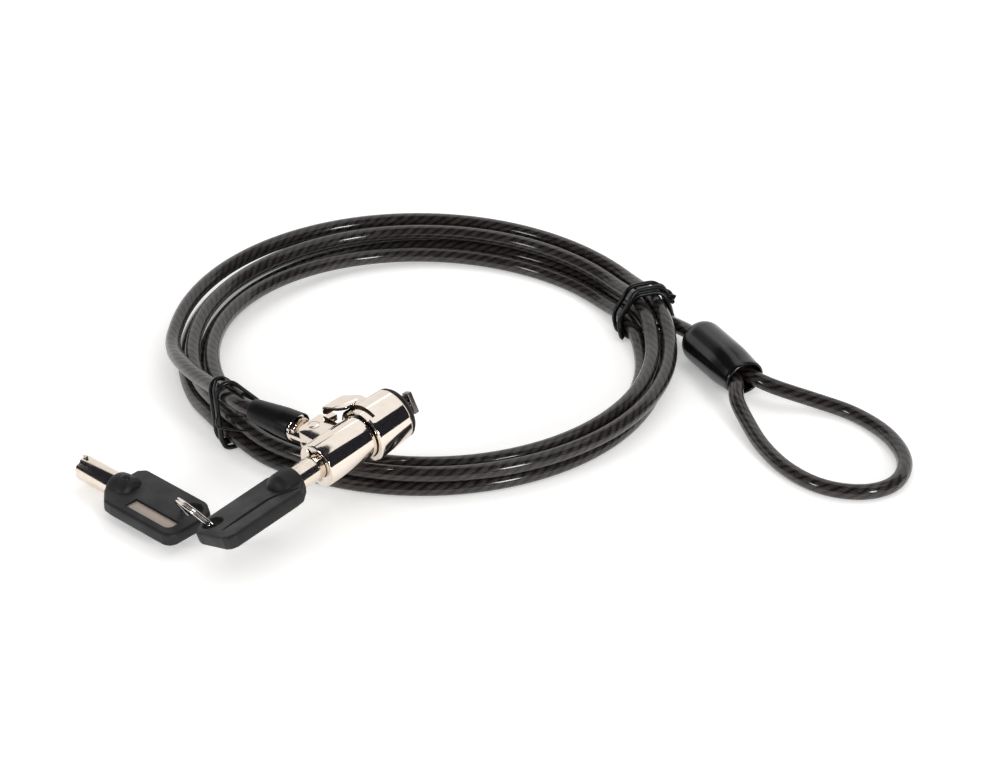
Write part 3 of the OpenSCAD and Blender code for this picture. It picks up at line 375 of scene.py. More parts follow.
def finish_named(name):
    """An empty node material: the material, its tree and its Object coordinates."""
    material = bpy.data.materials.new(name)
    material.use_nodes = True
    tree = material.node_tree
    tree.nodes.clear()
    return material, tree, add(tree, "TexCoord", out="Object")


def per_mm(size):
    """Texture scale whose features are size millimetres across, on coordinates in metres."""
    return 1000 / size


def rope_in_smoke_pvc():
    """Wire rope under a clear smoke PVC sheath, extruded over it: six strands of right-hand lay, 20.4 mm to
    the turn, show as slanting bands through the glossy, smooth sheath. Their colour is partly the strands'
    own grey and partly painted light: painted shade in the valleys between strands, painted highlights on the
    strands' crowns and on single wires, broken up in patches.
    The single wires are drawn 0.75 mm apart, about twice as coarse as real ones, so that they show."""
    strands, lay, wires, wire_lay = 6, 20.4, 17.0, 2.1
    m, tree, where = finish_named("rope_in_smoke_pvc")
    chart = add(tree, "SeparateXYZ", add(tree, "UVMap", uv_map="run"))
    around, along = chart.node.outputs[:2]
    laid = add(tree, "Math", along, strands * per_mm(lay), operation="MULTIPLY")
    parted = add(tree, "Math", around, strands, operation="MULTIPLY")
    phase = add(tree, "Math", parted, laid, operation="SUBTRACT")
    uneven = add(tree, "TexNoise", Vector=where, Scale=per_mm(9), Detail=2.0)
    drift = add(tree, "Math", uneven, 0.5, phase, operation="MULTIPLY_ADD")
    crown = add(tree, "MapRange", add(tree, "Math", drift, 0.5, operation="PINGPONG"), 0.06, 0.34, 0.0, 1.0)
    wires_around = add(tree, "Math", around, wires, operation="MULTIPLY")
    wires_laid = add(tree, "Math", along, per_mm(wire_lay), wires_around, operation="MULTIPLY_ADD")
    wire = add(tree, "Math", wires_laid, 0.5, operation="PINGPONG")
    patch = add(tree, "TexNoise", Vector=where, Scale=per_mm(2.2), Detail=3)
    patchy = add(tree, "MapRange", patch, 0.35, 0.7, 0.35, 1.0)
    glint = add(tree, "Math", crown, patchy, operation="MULTIPLY")
    wire_crown = add(tree, "MapRange", wire, 0.2, 0.45, 0.0, 0.35)
    wire_glint = add(tree, "Math", glint, wire_crown, operation="MULTIPLY")
    # Painted shade in the valleys (#0c0a0a), painted highlight on the strands' crowns (#342c2a) and a
    # brighter painted highlight on single wires (#574c48).
    tone = add(tree, "MixRGB", glint, paint("#0c0a0a"), paint("#342c2a"))
    tone = add(tree, "MixRGB", wire_glint, tone, paint("#574c48"))
    height = add(tree, "Math", wire, 0.25, crown, operation="MULTIPLY_ADD")
    relief = add(tree, "Bump", Height=height, Distance=0.00012, Strength=0.8)
    uneven_skin = add(tree, "TexNoise", Vector=where, Scale=per_mm(3.0), Detail=2)
    scuff = add(tree, "Bump", Height=uneven_skin, Distance=0.000012, Strength=1.0)
    add(tree, "OutputMaterial", add(
        tree, "BsdfPrincipled", Base_Color=tone, Metallic=0.0, Roughness=0.45, IOR=1.53,
        Specular_IOR_Level=0.15, Normal=relief, Coat_Weight=0.7, Coat_Roughness=0.12, Coat_IOR=1.53,
        Coat_Normal=scuff))
    return m


def bright_nickel(name, tone, shade, roughness, waviness, recess=False):
    """Die-cast zinc or turned brass, polished and plated with bright nickel: a warm mirror, with slight waves
    left by the polishing wheel, faint wipe marks and pores 0.3 mm apart. With recess set, faces marked as a
    recess
    get painted shade: a dark brown, matt tone in place of the shade that falls in them."""
    m, tree, where = finish_named(name)
    wiped_along = add(tree, "Mapping", Vector=where, Scale=(1.0, 1.6, 0.7))
    wipe = add(tree, "TexNoise", Vector=wiped_along, Scale=per_mm(2.5), Detail=4)
    rough = add(tree, "MapRange", wipe, 0.3, 0.7, roughness * 0.75, roughness * 1.3)
    colour = add(tree, "MixRGB", wipe, paint(tone), paint(shade))
    if recess:
        # Painted shade: marked recess faces turn dark brown and matt, standing in for the shade that falls
        # there.
        recess_shade_mask = add(tree, "Attribute", out="Fac", attribute_name="recess")
        painted_recess_shade = add(tree, "MixRGB", wipe, paint("#6b5647"), paint("#3c2d24"))
        colour = add(tree, "MixRGB", recess_shade_mask, colour, painted_recess_shade)
        rough = add(tree, "MapRange", recess_shade_mask, 0.0, 1.0, rough, 0.42)
    porous = add(tree, "TexNoise", Vector=where, Scale=per_mm(0.35), Detail=2)
    pore = add(tree, "MapRange", porous, 0.72, 0.80, 0.0, 1.0)
    wavy = add(tree, "TexNoise", Vector=where, Scale=per_mm(3.5), Detail=1)
    waves = add(tree, "Bump", Height=wavy, Distance=waviness / 1000, Strength=1.0)
    relief = add(tree, "Bump", Height=pore, Distance=-0.00001, Strength=0.5, Normal=waves)
    add(tree, "OutputMaterial", add(
        tree, "BsdfPrincipled", Base_Color=colour, Metallic=1.0, Roughness=rough, Normal=relief))
    return m


def moulded_black(name, tone, worn, roughness, grain, depth, ior=1.5, level=0.3):
    """Moulded plastic or rubber, black right through: the tool's spark-eroded grain breaks the highlight, and
    handling leaves it a little paler and smoother in patches. The grain is drawn 0.2 to 0.5 mm across,
    coarser than the real 0.1 mm, so that it shows."""
    m, tree, where = finish_named(name)
    patch = add(tree, "TexNoise", Vector=where, Scale=per_mm(7.0), Detail=3)
    handled = add(tree, "MapRange", patch, 0.35, 0.7, 0.0, 1.0)
    texture = add(tree, "TexNoise", Vector=where, Scale=per_mm(grain), Detail=3)
    colour = add(tree, "MixRGB", handled, paint(tone), paint(worn))
    rough = add(tree, "MapRange", handled, 0.0, 1.0, roughness * 1.12, roughness * 0.88)
    relief = add(tree, "Bump", Height=texture, Distance=depth / 1000, Strength=0.8)
    add(tree, "OutputMaterial", add(
        tree, "BsdfPrincipled", Base_Color=colour, Metallic=0.0, Roughness=rough, IOR=ior,
        Specular_IOR_Level=level, Normal=relief))
    return m


def brushed(name, tone, shade, roughness, metallic=1.0, stretch=(1.0, 1.0, 12.0), size=1.5):
    """Steel, aluminium or brass with the fine parallel scratches that a belt, a wire die or a turning tool
    leaves, 0.1 to 0.3 mm apart."""
    m, tree, where = finish_named(name)
    drawn_along = add(tree, "Mapping", Vector=where, Scale=stretch)
    lines = add(tree, "TexNoise", Vector=drawn_along, Scale=per_mm(size), Detail=4)
    colour = add(tree, "MixRGB", lines, paint(tone), paint(shade))
    rough = add(tree, "MapRange", lines, 0.3, 0.7, roughness * 0.8, roughness * 1.25)
    relief = add(tree, "Bump", Height=lines, Distance=0.00001, Strength=0.6)
    add(tree, "OutputMaterial", add(
        tree, "BsdfPrincipled", Base_Color=colour, Metallic=metallic, Roughness=rough, Normal=relief))
    return m


SMOKE_SHEATH = rope_in_smoke_pvc()
PLATED_CASTING = bright_nickel("polished_nickel_on_zinc", "#efe5da", "#e4d8cb", 0.07, 0.012)
# The collar's nickel carries painted shade in the hood's pocket and its bore.
COLLAR_CASTING = bright_nickel("polished_nickel_with_painted_recess_shade", "#efe5da", "#e4d8cb", 0.07, 0.012, True)
PLATED_TUBE = bright_nickel("nickel_on_turned_brass", "#ece2d7", "#dccfc0", 0.13, 0.006)
PLATED_WIRE = bright_nickel("nickel_on_spring_wire", "#ebe5df", "#cfc8c1", 0.12, 0.004)
BOW_PLASTIC = moulded_black("moulded_abs_black", "#1c1c1d", "#262627", 0.48, 0.22, 0.012, 1.53)
BOOT_RUBBER = moulded_black("soft_pvc_black", "#0b0a0b", "#121112", 0.34, 0.5, 0.006, 1.52, 0.2)
SLEEVE_VINYL = moulded_black("gloss_dipped_vinyl_black", "#0a0a0a", "#121212", 0.2, 0.5, 0.006, 1.52, 0.5)
NOSE_RUBBER = moulded_black("nose_rubber_black", "#161312", "#1f1b1a", 0.5, 0.3, 0.010, 1.5)
TIE_COVER = moulded_black("pvc_covered_wire_black", "#0e0e0e", "#171716", 0.3, 0.4, 0.02, 1.52)
WING_PLASTIC = moulded_black("moulded_nylon_black", "#151312", "#1e1b1a", 0.42, 0.25, 0.008, 1.53)
GROUND_STEEL = brushed("ground_tool_steel", "#a39d97", "#77716b", 0.3)
SPRING_STEEL = brushed("drawn_spring_steel", "#9a9793", "#7b7874", 0.28)
TURNED_BRASS = brushed("turned_brass", "#c8aa62", "#a88a48", 0.22)
FERRULE_ALLOY = brushed("pressed_aluminium_ferrule", "#c3c1be", "#9d9b98", 0.34)
BADGE_PLATE = brushed("satin_anodised_aluminium", "#b7aaa0", "#a2958b", 0.42, 0.55, (4.0, 14.0, 1.0), 1.2)

# ---------- the cable ----------

cable = mesh_object("cable", hose(cable_line, CABLE_D, 24))
finished(cable, "cable", SMOKE_SHEATH, ["cable_coil", "lock_lead", "eye_lead"])
anchor_loop = mesh_object("anchor_loop", hose(loop_line, CABLE_D, 24))
finished(anchor_loop, "cable", SMOKE_SHEATH, ["eye_loop"])

# ---------- ties ----------

TIE_D = 1.35
NO_MORE = np.zeros((0, 2))


def tie_line(at, over, wraps, slant, lean, phase):
    """Wire drawn round the strands: the outline of the bundle at an angle of the coil, a tie's radius out,
    run round wraps times. It walks along the bundle as slant cos(w t), leans by lean from the bundle's top to
    its foot, and climbs by 0.6 of the wire for each wrap, so that crossing turns lie on each other."""
    u = (MIDDLE - at) / 360 + np.arange(-3, 4)
    u = u[(u >= COIL_FIRST - 0.01) & (u <= COIL_LAST + 0.01)]
    strands = np.concatenate([np.stack([loop_radius(u), loop_height(u)], -1), over])
    t = np.linspace(0, wraps, int(wraps * 72) + 1)
    a = 2 * np.pi * t + phase
    n = np.stack([np.cos(a), np.sin(a)], -1)
    climb = 0.6 * TIE_D * (t // 1 + smooth(t % 1))[:, None] * np.abs(n[:, 1:]).clip(0.35, 1)
    outline = strands[np.argmax(strands @ n.T, 0)] + (CABLE_D / 2 + TIE_D / 2 + 0.06 + climb) * n
    out = np.array([np.cos(np.radians(at)), DEPTH_SHARE * np.sin(np.radians(at)), 0])
    along = unit([-np.sin(np.radians(at)), DEPTH_SHARE * np.cos(np.radians(at)), 0])
    walk = slant * np.cos(2 * np.pi * t * 0.37 + 1.2) + lean * (1 - n[:, 1]) / 2
    points = outline[:, :1] * out + outline[:, 1:] * [[0, 0, 1]] + walk[:, None] * along
    points[:, 2] = np.maximum(points[:, 2], TIE_D / 2 + 0.02)
    return eased(spaced(points, 0.5), 2), along


def twisted_end(start, end, other, radius=1.35, pitch=6.5):
    """Half of a twisted pair, turned on by an angle: a helix about a straight line, whose radius falls
    towards the tip."""
    t = np.linspace(0, 1, 44)[:, None]
    way, length = unit(np.subtract(end, start)), np.linalg.norm(np.subtract(end, start))
    s = unit(np.cross(way, [0.3, 0.2, 1.0]))
    a = 2 * np.pi * t * length / pitch + other
    return start + way * t * length + radius * (1 - 0.45 * t) * (np.cos(a) * s + np.sin(a) * np.cross(s, way))


def tie(name, node, wrap, along, ends):
    """One wire tie: its wraps, and each end, of its own thickness, as a hose that leaves the wraps at the
    point nearest to the end's first one."""
    shapes = [hose(COIL_AT + wrap, TIE_D, 10, along)]
    for line, width in ends:
        near = np.argmin(np.linalg.norm(wrap - line[0], axis=1))
        route = eased(spaced(through([wrap[near], *line[1:]], 8), 0.4), 1)
        shapes.append(hose(COIL_AT + route, width, 10, (0.31, 0.17, 0.93)))
    thing = mesh_object(name, joined(*[s[:2] for s in shapes]))
    return finished(thing, "cable", TIE_COVER, [node])


# The tie by the lock also holds the free stretch: the two points of it that lie nearest to the tie's angle.
LEFT_AT, RIGHT_AT = TIES[0] + 2.2, TIES[1] + 3
lead_at = through([put(BOOT, [26.6, 0, 0]), *(COIL_AT + LEAD)], 16) - COIL_AT
turn = np.degrees(np.arctan2(lead_at[:, 1] / DEPTH_SHARE, lead_at[:, 0]))
over_lead = np.stack([np.hypot(lead_at[:, 0], lead_at[:, 1] / DEPTH_SHARE), lead_at[:, 2]], -1)
over_lead = over_lead[np.argsort(np.abs(between(turn, LEFT_AT)))[:2]]
wrap, along = tie_line(LEFT_AT, over_lead, 2.8, 2.6, 1.6, 2.4)
on_lead = lead_at[::4][:5][::-1] + [0.6, 1.3, 2.55]
bare_end = np.array([[-60.9, -46.0, 12.0], [-57.6, -50.4, 11.9], [-53.5, -52.2, 12.0], [-47.6, -53.2, 12.0]])
left_tie = tie("tie_by_lock", "left_tie", wrap, along, [(on_lead, TIE_D), (bare_end, 0.6)])
wrap, along = tie_line(RIGHT_AT, NO_MORE, 3.55, 2.6, -3.0, 0.6)
knot, tip = [66.6, 28.0, 10.6], [71.8, 21.2, 10.2]
right_tie = tie("tie_by_eye", "right_tie", wrap, along, [(twisted_end(knot, tip, half), TIE_D)
                                                         for half in (0.0, np.pi)])

# ---------- sleeve of the eye, and the boot ----------


def sleeve():
    """Moulded sleeve: half-axes (w, h) of an oval section along x. A dome grows to 6.5 mm, and towards the
    mouth the section flattens to 6.2 by 5.2; the wall turns in at the rim and goes back 5 mm to the crimp."""
    dome, shank, flare = np.linspace(0.3, 4.4, 12), np.linspace(5.2, 17.5, 10), np.linspace(18.6, 26.4, 9)
    rim = [26.75, 26.95, 27.0, 26.9, 26.6, 25.0, 23.4, 22.4, 22.15, 22.1]
    x = np.r_[2.6, 2.6, 0.25, 0.0, 0.12, dome, shank, flare, rim]
    shoulder = 3.2 + 3.3 * np.sqrt(1 - np.clip((4.4 - x) / 4.4, 0, 1) ** 2)
    body = np.where(x < 4.4, shoulder, 6.5)
    t = smooth((x - 16.5) / 10.5)
    w, h = body - 0.3 * t, body - 1.3 * t
    w[:4], h[:4] = [0.0, 2.23, 2.23, 2.5], [0.0, 2.23, 2.23, 2.5]
    turn_in = np.r_[0.12, 0.3, 0.55, 0.8, 0.95, 1.0, 1.05, 1.15, 1.5]
    w[-10:-1], h[-10:-1] = 6.2 - turn_in, 5.2 - turn_in
    w[-1] = h[-1] = 0.0
    a = np.linspace(0, 2 * np.pi, 72, endpoint=False)[None]
    seam = 1 + 0.006 * np.exp(-(np.minimum(a % np.pi, np.pi - a % np.pi) / 0.03) ** 2)
    section = w[:, None] * np.cos(a) * seam, h[:, None] * np.sin(a) * seam
    grid = np.stack([x[:, None] + 0 * a, *section], -1)
    return grid.reshape(-1, 3), skin(len(x), 72)


eye_sleeve = mesh_object("eye_sleeve_cover", sleeve(), EYE)
finished(eye_sleeve, "cable", SLEEVE_VINYL, ["eye_sleeve"], 60)


def drawn_on(shape):
    """Shifts the boot's mouth: x - 1.75 w, where w is 0 on the side of the lug's rear and 1 on the other."""
    points, faces = shape
    a = np.arctan2(points[:, 2], points[:, 1]) + np.radians(30)
    w = smooth((0.5 - 0.5 * np.cos(a)) * 1.7 - 0.25) * (1 - smooth((points[:, 0] - 7.6) / 3))
    return points - np.c_[1.75 * w, 0 * w, 0 * w], faces


boot_shape = lathe([[7.2, 4.02], [7.2, 4.35], [10.95, 4.25], [19.95, 3.42], [22.2, 3.15], [22.2, 2.24],
                    [17.25, 2.24], [17.25, 2.92], [8.4, 2.92], [8.4, 4.02]],
                   [0.12, 0.16, 3.0, 3.0, 0.9, 0.3, 0.05, 0.05, 0.05, 0.05], 96)
boot = mesh_object("lock_boot_cover", drawn_on(boot_shape), BOOT)
finished(boot, "cable", BOOT_RUBBER, ["lock_boot"])


# ---------- end fitting in the lug ----------

tongue = rounded([[-4, -4], [6.4, -4], [6.4, 4], [-4, 4]], [4, 0.1, 0.1, 4], 24)
neck = lathe([[4.8, 0], [4.8, 3.3], [6.3, 3.3], [6.3, 0]], [0, 0.25, 0, 0], 96, solid=True)
ferrule = lathe([[6.2, 0], [6.2, 3.96], [7.2, 3.96], [7.2, 2.9], [17.2, 2.9], [17.2, 0]],
                [0, 0.2, 0.15, 0.05, 0.3, 0], 96, solid=True)
fitting = mesh_object("cable_end_tongue", joined(slab(tongue, -0.65, 0.65, 0.12), neck, ferrule), BOOT)
finished(fitting, "cable", PLATED_CASTING, ["cable_end_fitting"])

# ---------- lock body ----------

NOTCH_TURN = 55


def notched(x, r, a):
    """The rear wall's bore, let out to 5.1 mm over a slot 1.6 mm wide."""
    off = np.abs(between(np.degrees(a), NOTCH_TURN)) * np.pi / 180 * 4.5
    return np.where((r < 4.9) & (x < 1.0), r + (5.1 - r) * smooth((0.85 - off) / 0.18), r)


# The barrel, with a dished rear wall, and the thinner spigot that the collar slides on
barrel = lathe([[0.5, 3.76], [0.0, 5.3], [0, 6.4], [16.8, 6.4], [16.8, 5.6], [24.8, 5.6], [24.8, 5.0],
                [0.9, 5.0], [0.9, 3.76]],
               [0.08, 0.3, 0.45, 0.25, 0.1, 0.25, 0.1, 0.05, 0.08], 192, bend=notched)
# The lug's two ears, a rib beside the upper one that the hood covers, and a ring pressed round the rivet head
LUG_LOW, EAR_LOW, EAR_HIGH, EAR_T = -1.65, 0.25, 1.75, 2.6
lug_plan = rounded([[3.9, 4.4], [13.2, 4.4], [13.2, 11.8], [3.9, 11.8]], [0.05, 0.05, 0.8, 2.0], 14)
ear = mesh_object("upper_ear", slab(lug_plan, EAR_HIGH, EAR_HIGH + EAR_T, 0.28))
ring_groove = mesh_object("groove", slab(disc(1.68, RIVET), EAR_HIGH + 2.5, 6, 0))
rivet_core = mesh_object("core", slab(disc(1.5, RIVET), EAR_HIGH + 1, 7, 0))
carved(ear, carved(ring_groove, rivet_core))
ear_shape = shape_of(ear)
guide_plan = rounded([[12.9, 8.4], [16.6, 8.4], [16.6, 11.1], [12.9, 11.1]], [0.1, 0.6, 0.6, 0.1], 8)
lower_ear, guide = slab(lug_plan, LUG_LOW, EAR_LOW, 0.28), slab(guide_plan, EAR_HIGH, 3.3, 0.2)
lock_body = mesh_object("lock_body", joined(barrel, lower_ear, ear_shape, guide), LOCK)
finished(lock_body, "lock", PLATED_CASTING, ["lock_housing"], 30)
pin = lathe([[LUG_LOW, 0], [LUG_LOW, 1.5], [4.38, 1.5], [4.38, 0]], [0, 0.2, 0.2, 0], 48, solid=True)
rivet = mesh_object("pivot_rivet_pin", pin, frame_in(LOCK, turned_by("Y", -90), [*RIVET, 0]))
finished(rivet, "lock", PLATED_CASTING, ["pivot_rivet"])

# ---------- collar ----------

SHELL_START, SHELL_END, SHELL_BORE = 17.0, 29.0, 6.58
shell = lathe([[SHELL_START, SHELL_BORE], [SHELL_START, 7.85], [17.3, 8.2], [18.0, 8.2], [28.6, 7.75],
               [SHELL_END, 7.6], [SHELL_END, 5.65], [22.0, 5.65], [22.0, SHELL_BORE]],
              [0.12, 0.2, 0.2, 0.4, 0.2, 0.12, 0.05, 0.05, 0.05], 192)
collar = mesh_object("sliding_collar", shell)
# The shell's rear is cut back under the hood, over an arch round the lock's axis.
arch = np.radians(np.linspace(34, 119, 60))
arcs = [np.stack([r * np.cos(w), r * np.sin(w)], -1) for r, w in ((7.3, arch), (12.0, arch[::-1]))]
points, faces = slab(np.concatenate(arcs), 15.0, 19.4, 0)
back = mesh_object("arch", (points[:, [2, 0, 1]], faces))
# The thumb hood, hollow beneath, stands over the lug's ear.
HOOD_LOW, HOOD_TOP, POCKET_TOP = 4.5, 6.9, 6.0
hood_plan = rounded([[19.6, 3], [19.6, 5.2], [17.2, 5.5], [15.5, 6.9], [13.0, 10.9], [20.3, 10.4],
                     [23.8, 6.4], [23.8, 3]], [0.3, 0.5, 1, 2, 0.28, 0.8, 0.8, 0.3], 8)
hood = mesh_object("hood", slab(hood_plan, HOOD_LOW, HOOD_TOP, 0.16))
pocket = rounded([[18.4, 3], [18.4, 5.2], [16.0, 5.5], [14.3, 6.9], [11.8, 9.8], [19.2, 9.3], [22.04, 5.3],
                  [22.04, 3]], [0.1, 0.3, 1, 2, 0.1, 0.6, 0.4, 0.1], 6)
room = mesh_object("room", slab(pocket, HOOD_LOW - 1, POCKET_TOP, 0))
bore = mesh_object("bore", lathe([[8, 0], [8, 7.6], [21.9, 7.6], [21.9, 0]], 0, 128, 2, solid=True))
carved(collar, back, union=(carved(hood, room, bore),))
collar = mesh_object("sliding_collar", shape_of(collar), LOCK)


def in_recess(p):
    """True for points of the lock's frame in the hood's pocket or inside the collar's bore."""
    x, y, z = p.T
    pocketed = (z < POCKET_TOP + 0.05) & (z > 3) & (y > 5) & (y < 9.9) & (x < 22.3)
    return pocketed | ((np.hypot(y, z) < 7.0) & (x > SHELL_START + 0.05))


# Marks the faces in the hood's pocket and inside the collar's bore, which the collar's finish gives painted
# shade.
middle = np.zeros(len(collar.data.polygons) * 3)
collar.data.polygons.foreach_get("center", middle)
middle = (middle.reshape(-1, 3) * 1000 - LOCK[1]) @ LOCK[0]
recess = collar.data.attributes.new("recess", "FLOAT", "FACE")
recess.data.foreach_set("value", in_recess(middle).astype(np.float32))
finished(collar, "collar", COLLAR_CASTING, ["slide_collar"], 30)

# ---------- nose, wings and T-bar ----------

cap = lathe([[SHELL_END, 1.5], [SHELL_END, 7.55], [29.945, 7.55], [30.75, 6.9], [31.1, 6.4], [31.1, 1.5]],
            [0.05, 0.1, 0.3, 0.3, 0.2, 0.15], 128)
nose = mesh_object("nose_cap_cover", cap, LOCK)
finished(nose, "collar", NOSE_RUBBER, ["nose_cap"])
SLOT_TURN = 67.0
WINGED = frame_in(LOCK, turned_by("X", SLOT_TURN), [0, 0, 0])


def bar(x0, x1, y0, y1, t, edge, corner=0.25):
    """A bar from x0 to x1, of a rounded section y0..y1 by t, its ends quarter-round."""
    plan = rounded([[y0, -t / 2], [y1, -t / 2], [y1, t / 2], [y0, t / 2]], corner, 6)
    points, faces = slab(plan, x0, x1, edge)
    return points[:, [2, 0, 1]], faces


WING_END, BAR_START, BAR_END, BAR_HALF = 34.2, 34.8, 36.4, 3.2
plate = lathe([[27.9, 1.7], [27.9, 5.6], [28.9, 5.6], [28.9, 1.7]], 0.1, 96)
pair = [bar(28.0, WING_END, y, y + 1.75, 2.4, 0.25) for y in (1.35, -3.1)]
wings = mesh_object("slot_wing_pair", joined(plate, *pair), WINGED)
finished(wings, "collar", WING_PLASTIC, ["slot_wings"])
shaft = lathe([[14.27, 0], [14.27, 1.6], [25.6, 1.6], [25.6, 1.2], [35.0, 1.2], [35.0, 0]],
              [0, 0.15, 0.15, 0.2, 0.1, 0], 48, solid=True)
crossbar = bar(BAR_START, BAR_END, -BAR_HALF, BAR_HALF, 2.6, 0.22, 0.35)
spindle = mesh_object("t_bar", joined(shaft, crossbar), WINGED)
finished(spindle, "rotor", GROUND_STEEL, ["t_bar_spindle"])

# ---------- keys ----------

GRIP_SHIFT = 0.6
TUBE_R, TUBE_BORE, TUBE_END = 3.6, 2.6, 14.3
PIN_CIRCLE_R, PINS = 3.15, 7


def bow(name, place, body, nodes):
    """A key's bow: an eleven-cornered slab with soft edges, a turned hub, a half-round knob on the hub, the
    ring's hole, the badge's window and a tapering groove on the other face."""
    w, l, low, top = 9.3, 30.6, -1.45, 2.45
    plan = rounded([[0, -w + 2], [-1.8, -w], [-l + 5, -w], [-l + 0.9, -w + 2.6], [-l, -w + 5], [-l, w - 2.6],
                    [-l + 0.8, w - 0.9], [-l + 2.6, w], [-7, w], [-4.2, w - 0.4], [0, w - 4.4]],
                   [1.2, 1.2, 3, 2, 2, 1.2, 1.2, 1.4, 3, 2, 1.6], 7)
    thing = mesh_object(name, slab(plan + [0, GRIP_SHIFT], low, top, 0.85, 5))
    window = rounded([[-27.4, 3.1], [-10.4, 3.1], [-10.4, 7.3], [-27.4, 7.3]], [0.4, 0.3, 0.4, 1.9], 8)
    t = np.linspace(0, 1, 40)[:, None]
    line = np.c_[-27.6 + 24.4 * t, 3.5 + 4.6 * smooth((t - 0.62) / 0.38) ** 1.5, 0 * t + low - 0.05]
    groove = hose(line, 1.6, 12, (0, 0, 1), 0.15 + 0.85 * np.sin(np.pi * t[:, 0]) ** 0.4)[:2]
    hole = lathe([[-6, 0], [-6, 3.6], [-2.35, 3.6], [-1.65, 2.9], [1.65, 2.9], [2.35, 3.6], [6, 3.6], [6, 0]],
                 [0, 0, 0.3, 0.3, 0.3, 0.3, 0, 0], 64, solid=True)
    upright = frame_in(TABLE, turned_by("Y", 90), [*HOLE[:2], 0.5])
    carved(thing, mesh_object("window", slab(window, top - 1.1, top + 2, 0)), mesh_object("groove", groove),
           mesh_object("hole", hole, upright))
    hub = lathe([[-5.62, 0], [-5.62, 2.98], [0.6, 2.98], [0.6, 4.3], [0.0, 4.7], [-1.2, 4.9], [-4.6, 4.9],
                 [-5.9, 4.3], [-6.7, 3.2], [-7.0, 2.1], [-7.0, 0]],
                [0, 0.05, 0.05, 0.3, 0.5, 1.2, 1.4, 1.0, 1.0, 0.8, 0], 96, solid=True)
    raised = (np.eye(3), np.array([0, GRIP_SHIFT, 0]))
    thing = mesh_object(name, joined(shape_of(thing), moved(raised, hub), moved(raised, knob())), place)
    return finished(thing, body, BOW_PLASTIC, nodes, 32)


def knob(x=-3.4, r=1.35, foot=4.75, rise=0.95, rings=9, sides=32):
    """The hub's knob: half of a flattened ball, (x + r cos e cos a, r cos e sin a, foot + rise sin e), closed
    by a point inside the hub."""
    e = np.linspace(0, np.pi / 2, rings)[:, None]
    a = np.linspace(0, 2 * np.pi, sides, endpoint=False)[None]
    dome = [x + r * np.cos(e) * np.cos(a), r * np.cos(e) * np.sin(a), foot + rise * np.sin(e) + 0 * a]
    under = [[i, (i + 1) % sides, rings * sides] for i in range(sides)]
    return np.concatenate([np.stack(dome, -1).reshape(-1, 3), [[x, 0, 4.0]]]), skin(rings, sides) + under


def key_tube(name, place, body, nodes):
    """A key's tube: a turned wall 1 mm thick, the outer nib and the inner lug near its tip, and seven shallow
    cuts in the tip, as a dip of x where the angle is near a pin's."""
    wall = lathe([[-5.6, TUBE_BORE], [-5.6, TUBE_R], [TUBE_END, TUBE_R], [TUBE_END, TUBE_BORE]],
                 [0.05, 0.05, 0.25, 0.12], 168)
    p = wall[0]
    a = np.degrees(np.arctan2(p[:, 2], p[:, 1]))
    off = np.min([np.abs(between(a, 180 + (k + 0.5) * 360 / PINS)) for k in range(PINS)], 0)
    cut = 0.35 * smooth((0.62 - off * np.pi / 180 * PIN_CIRCLE_R) / 0.2)
    p[:, 0] -= np.where(p[:, 0] > 13.6, cut, 0)
    nib = bar(12.9, 14.1, 3.3, 4.33, 1.0, 0.12, 0.2)
    lug = bar(12.9, 14.2, 2.2, 2.8, 0.9, 0.05, 0.1)
    quarter = (turned_by("X", 90), np.zeros(3))
    thing = mesh_object(name, joined(wall, moved(quarter, nib), moved(quarter, lug)), place)
    return finished(thing, body, PLATED_TUBE, nodes)


def badge(name, place, body, nodes):
    """The plain plate let into the window, 0.5 mm thick, its far end rounded as the window's."""
    plan = rounded([[-27.34, 3.16], [-10.46, 3.16], [-10.46, 7.24], [-27.34, 7.24]],
                   [0.35, 0.25, 0.35, 1.85], 8)
    thing = mesh_object(name, slab(plan, 1.36, 1.86, 0.06), place)
    return finished(thing, body, BADGE_PLATE, nodes)


for number, place in ((1, KEY_1), (2, KEY_2)):
    body = f"key_{number}"
    bow(f"{body}_grip", place, body, [f"{body}_bow"])
    key_tube(f"{body}_shank", place, body, [f"{body}_tube"])
    badge(f"{body}_plate", place, body, [f"{body}_badge"])

# ---------- split ring ----------

RING_R, RING_D, TURN_GAP = 8.9, 0.9, 0.83
hole_1, hole_2 = put(KEY_1, HOLE), put(KEY_2, HOLE + [0.8, 0, 0])
chord = unit(hole_1 - hole_2)
lean = unit([-0.73, 0.36, 0.46])
lift = unit(lean - (lean @ chord) * chord)
half_chord = np.linalg.norm(hole_1 - hole_2) / 2
ring_middle = (hole_1 + hole_2) / 2 + lift * np.sqrt(max(RING_R ** 2 - half_chord ** 2, 0))
ring_axis = np.cross(chord, lift)
# Almost two turns of wire beside each other, which change sides over 44 degrees; the wire's ends are rounded.
degrees = np.linspace(22, 698, 340)[:, None]
t = np.radians(degrees) + 2.2
side = TURN_GAP * (smooth((degrees - 338) / 44) - 0.5)
ring_line = ring_middle + RING_R * (np.cos(t) * lift + np.sin(t) * chord) + side * ring_axis
from_end = np.minimum(np.arange(340), np.arange(340)[::-1])
ends = np.clip(from_end / 2.0, 0, 1) ** 0.5 * 0.35 + 0.65
key_ring = mesh_object("split_ring", hose(ring_line, RING_D, 14, ring_axis, ends)[:2])
finished(key_ring, "ring", PLATED_WIRE, ["key_ring"])

# ---------- CAD nodes that stay, with their real finishes ----------

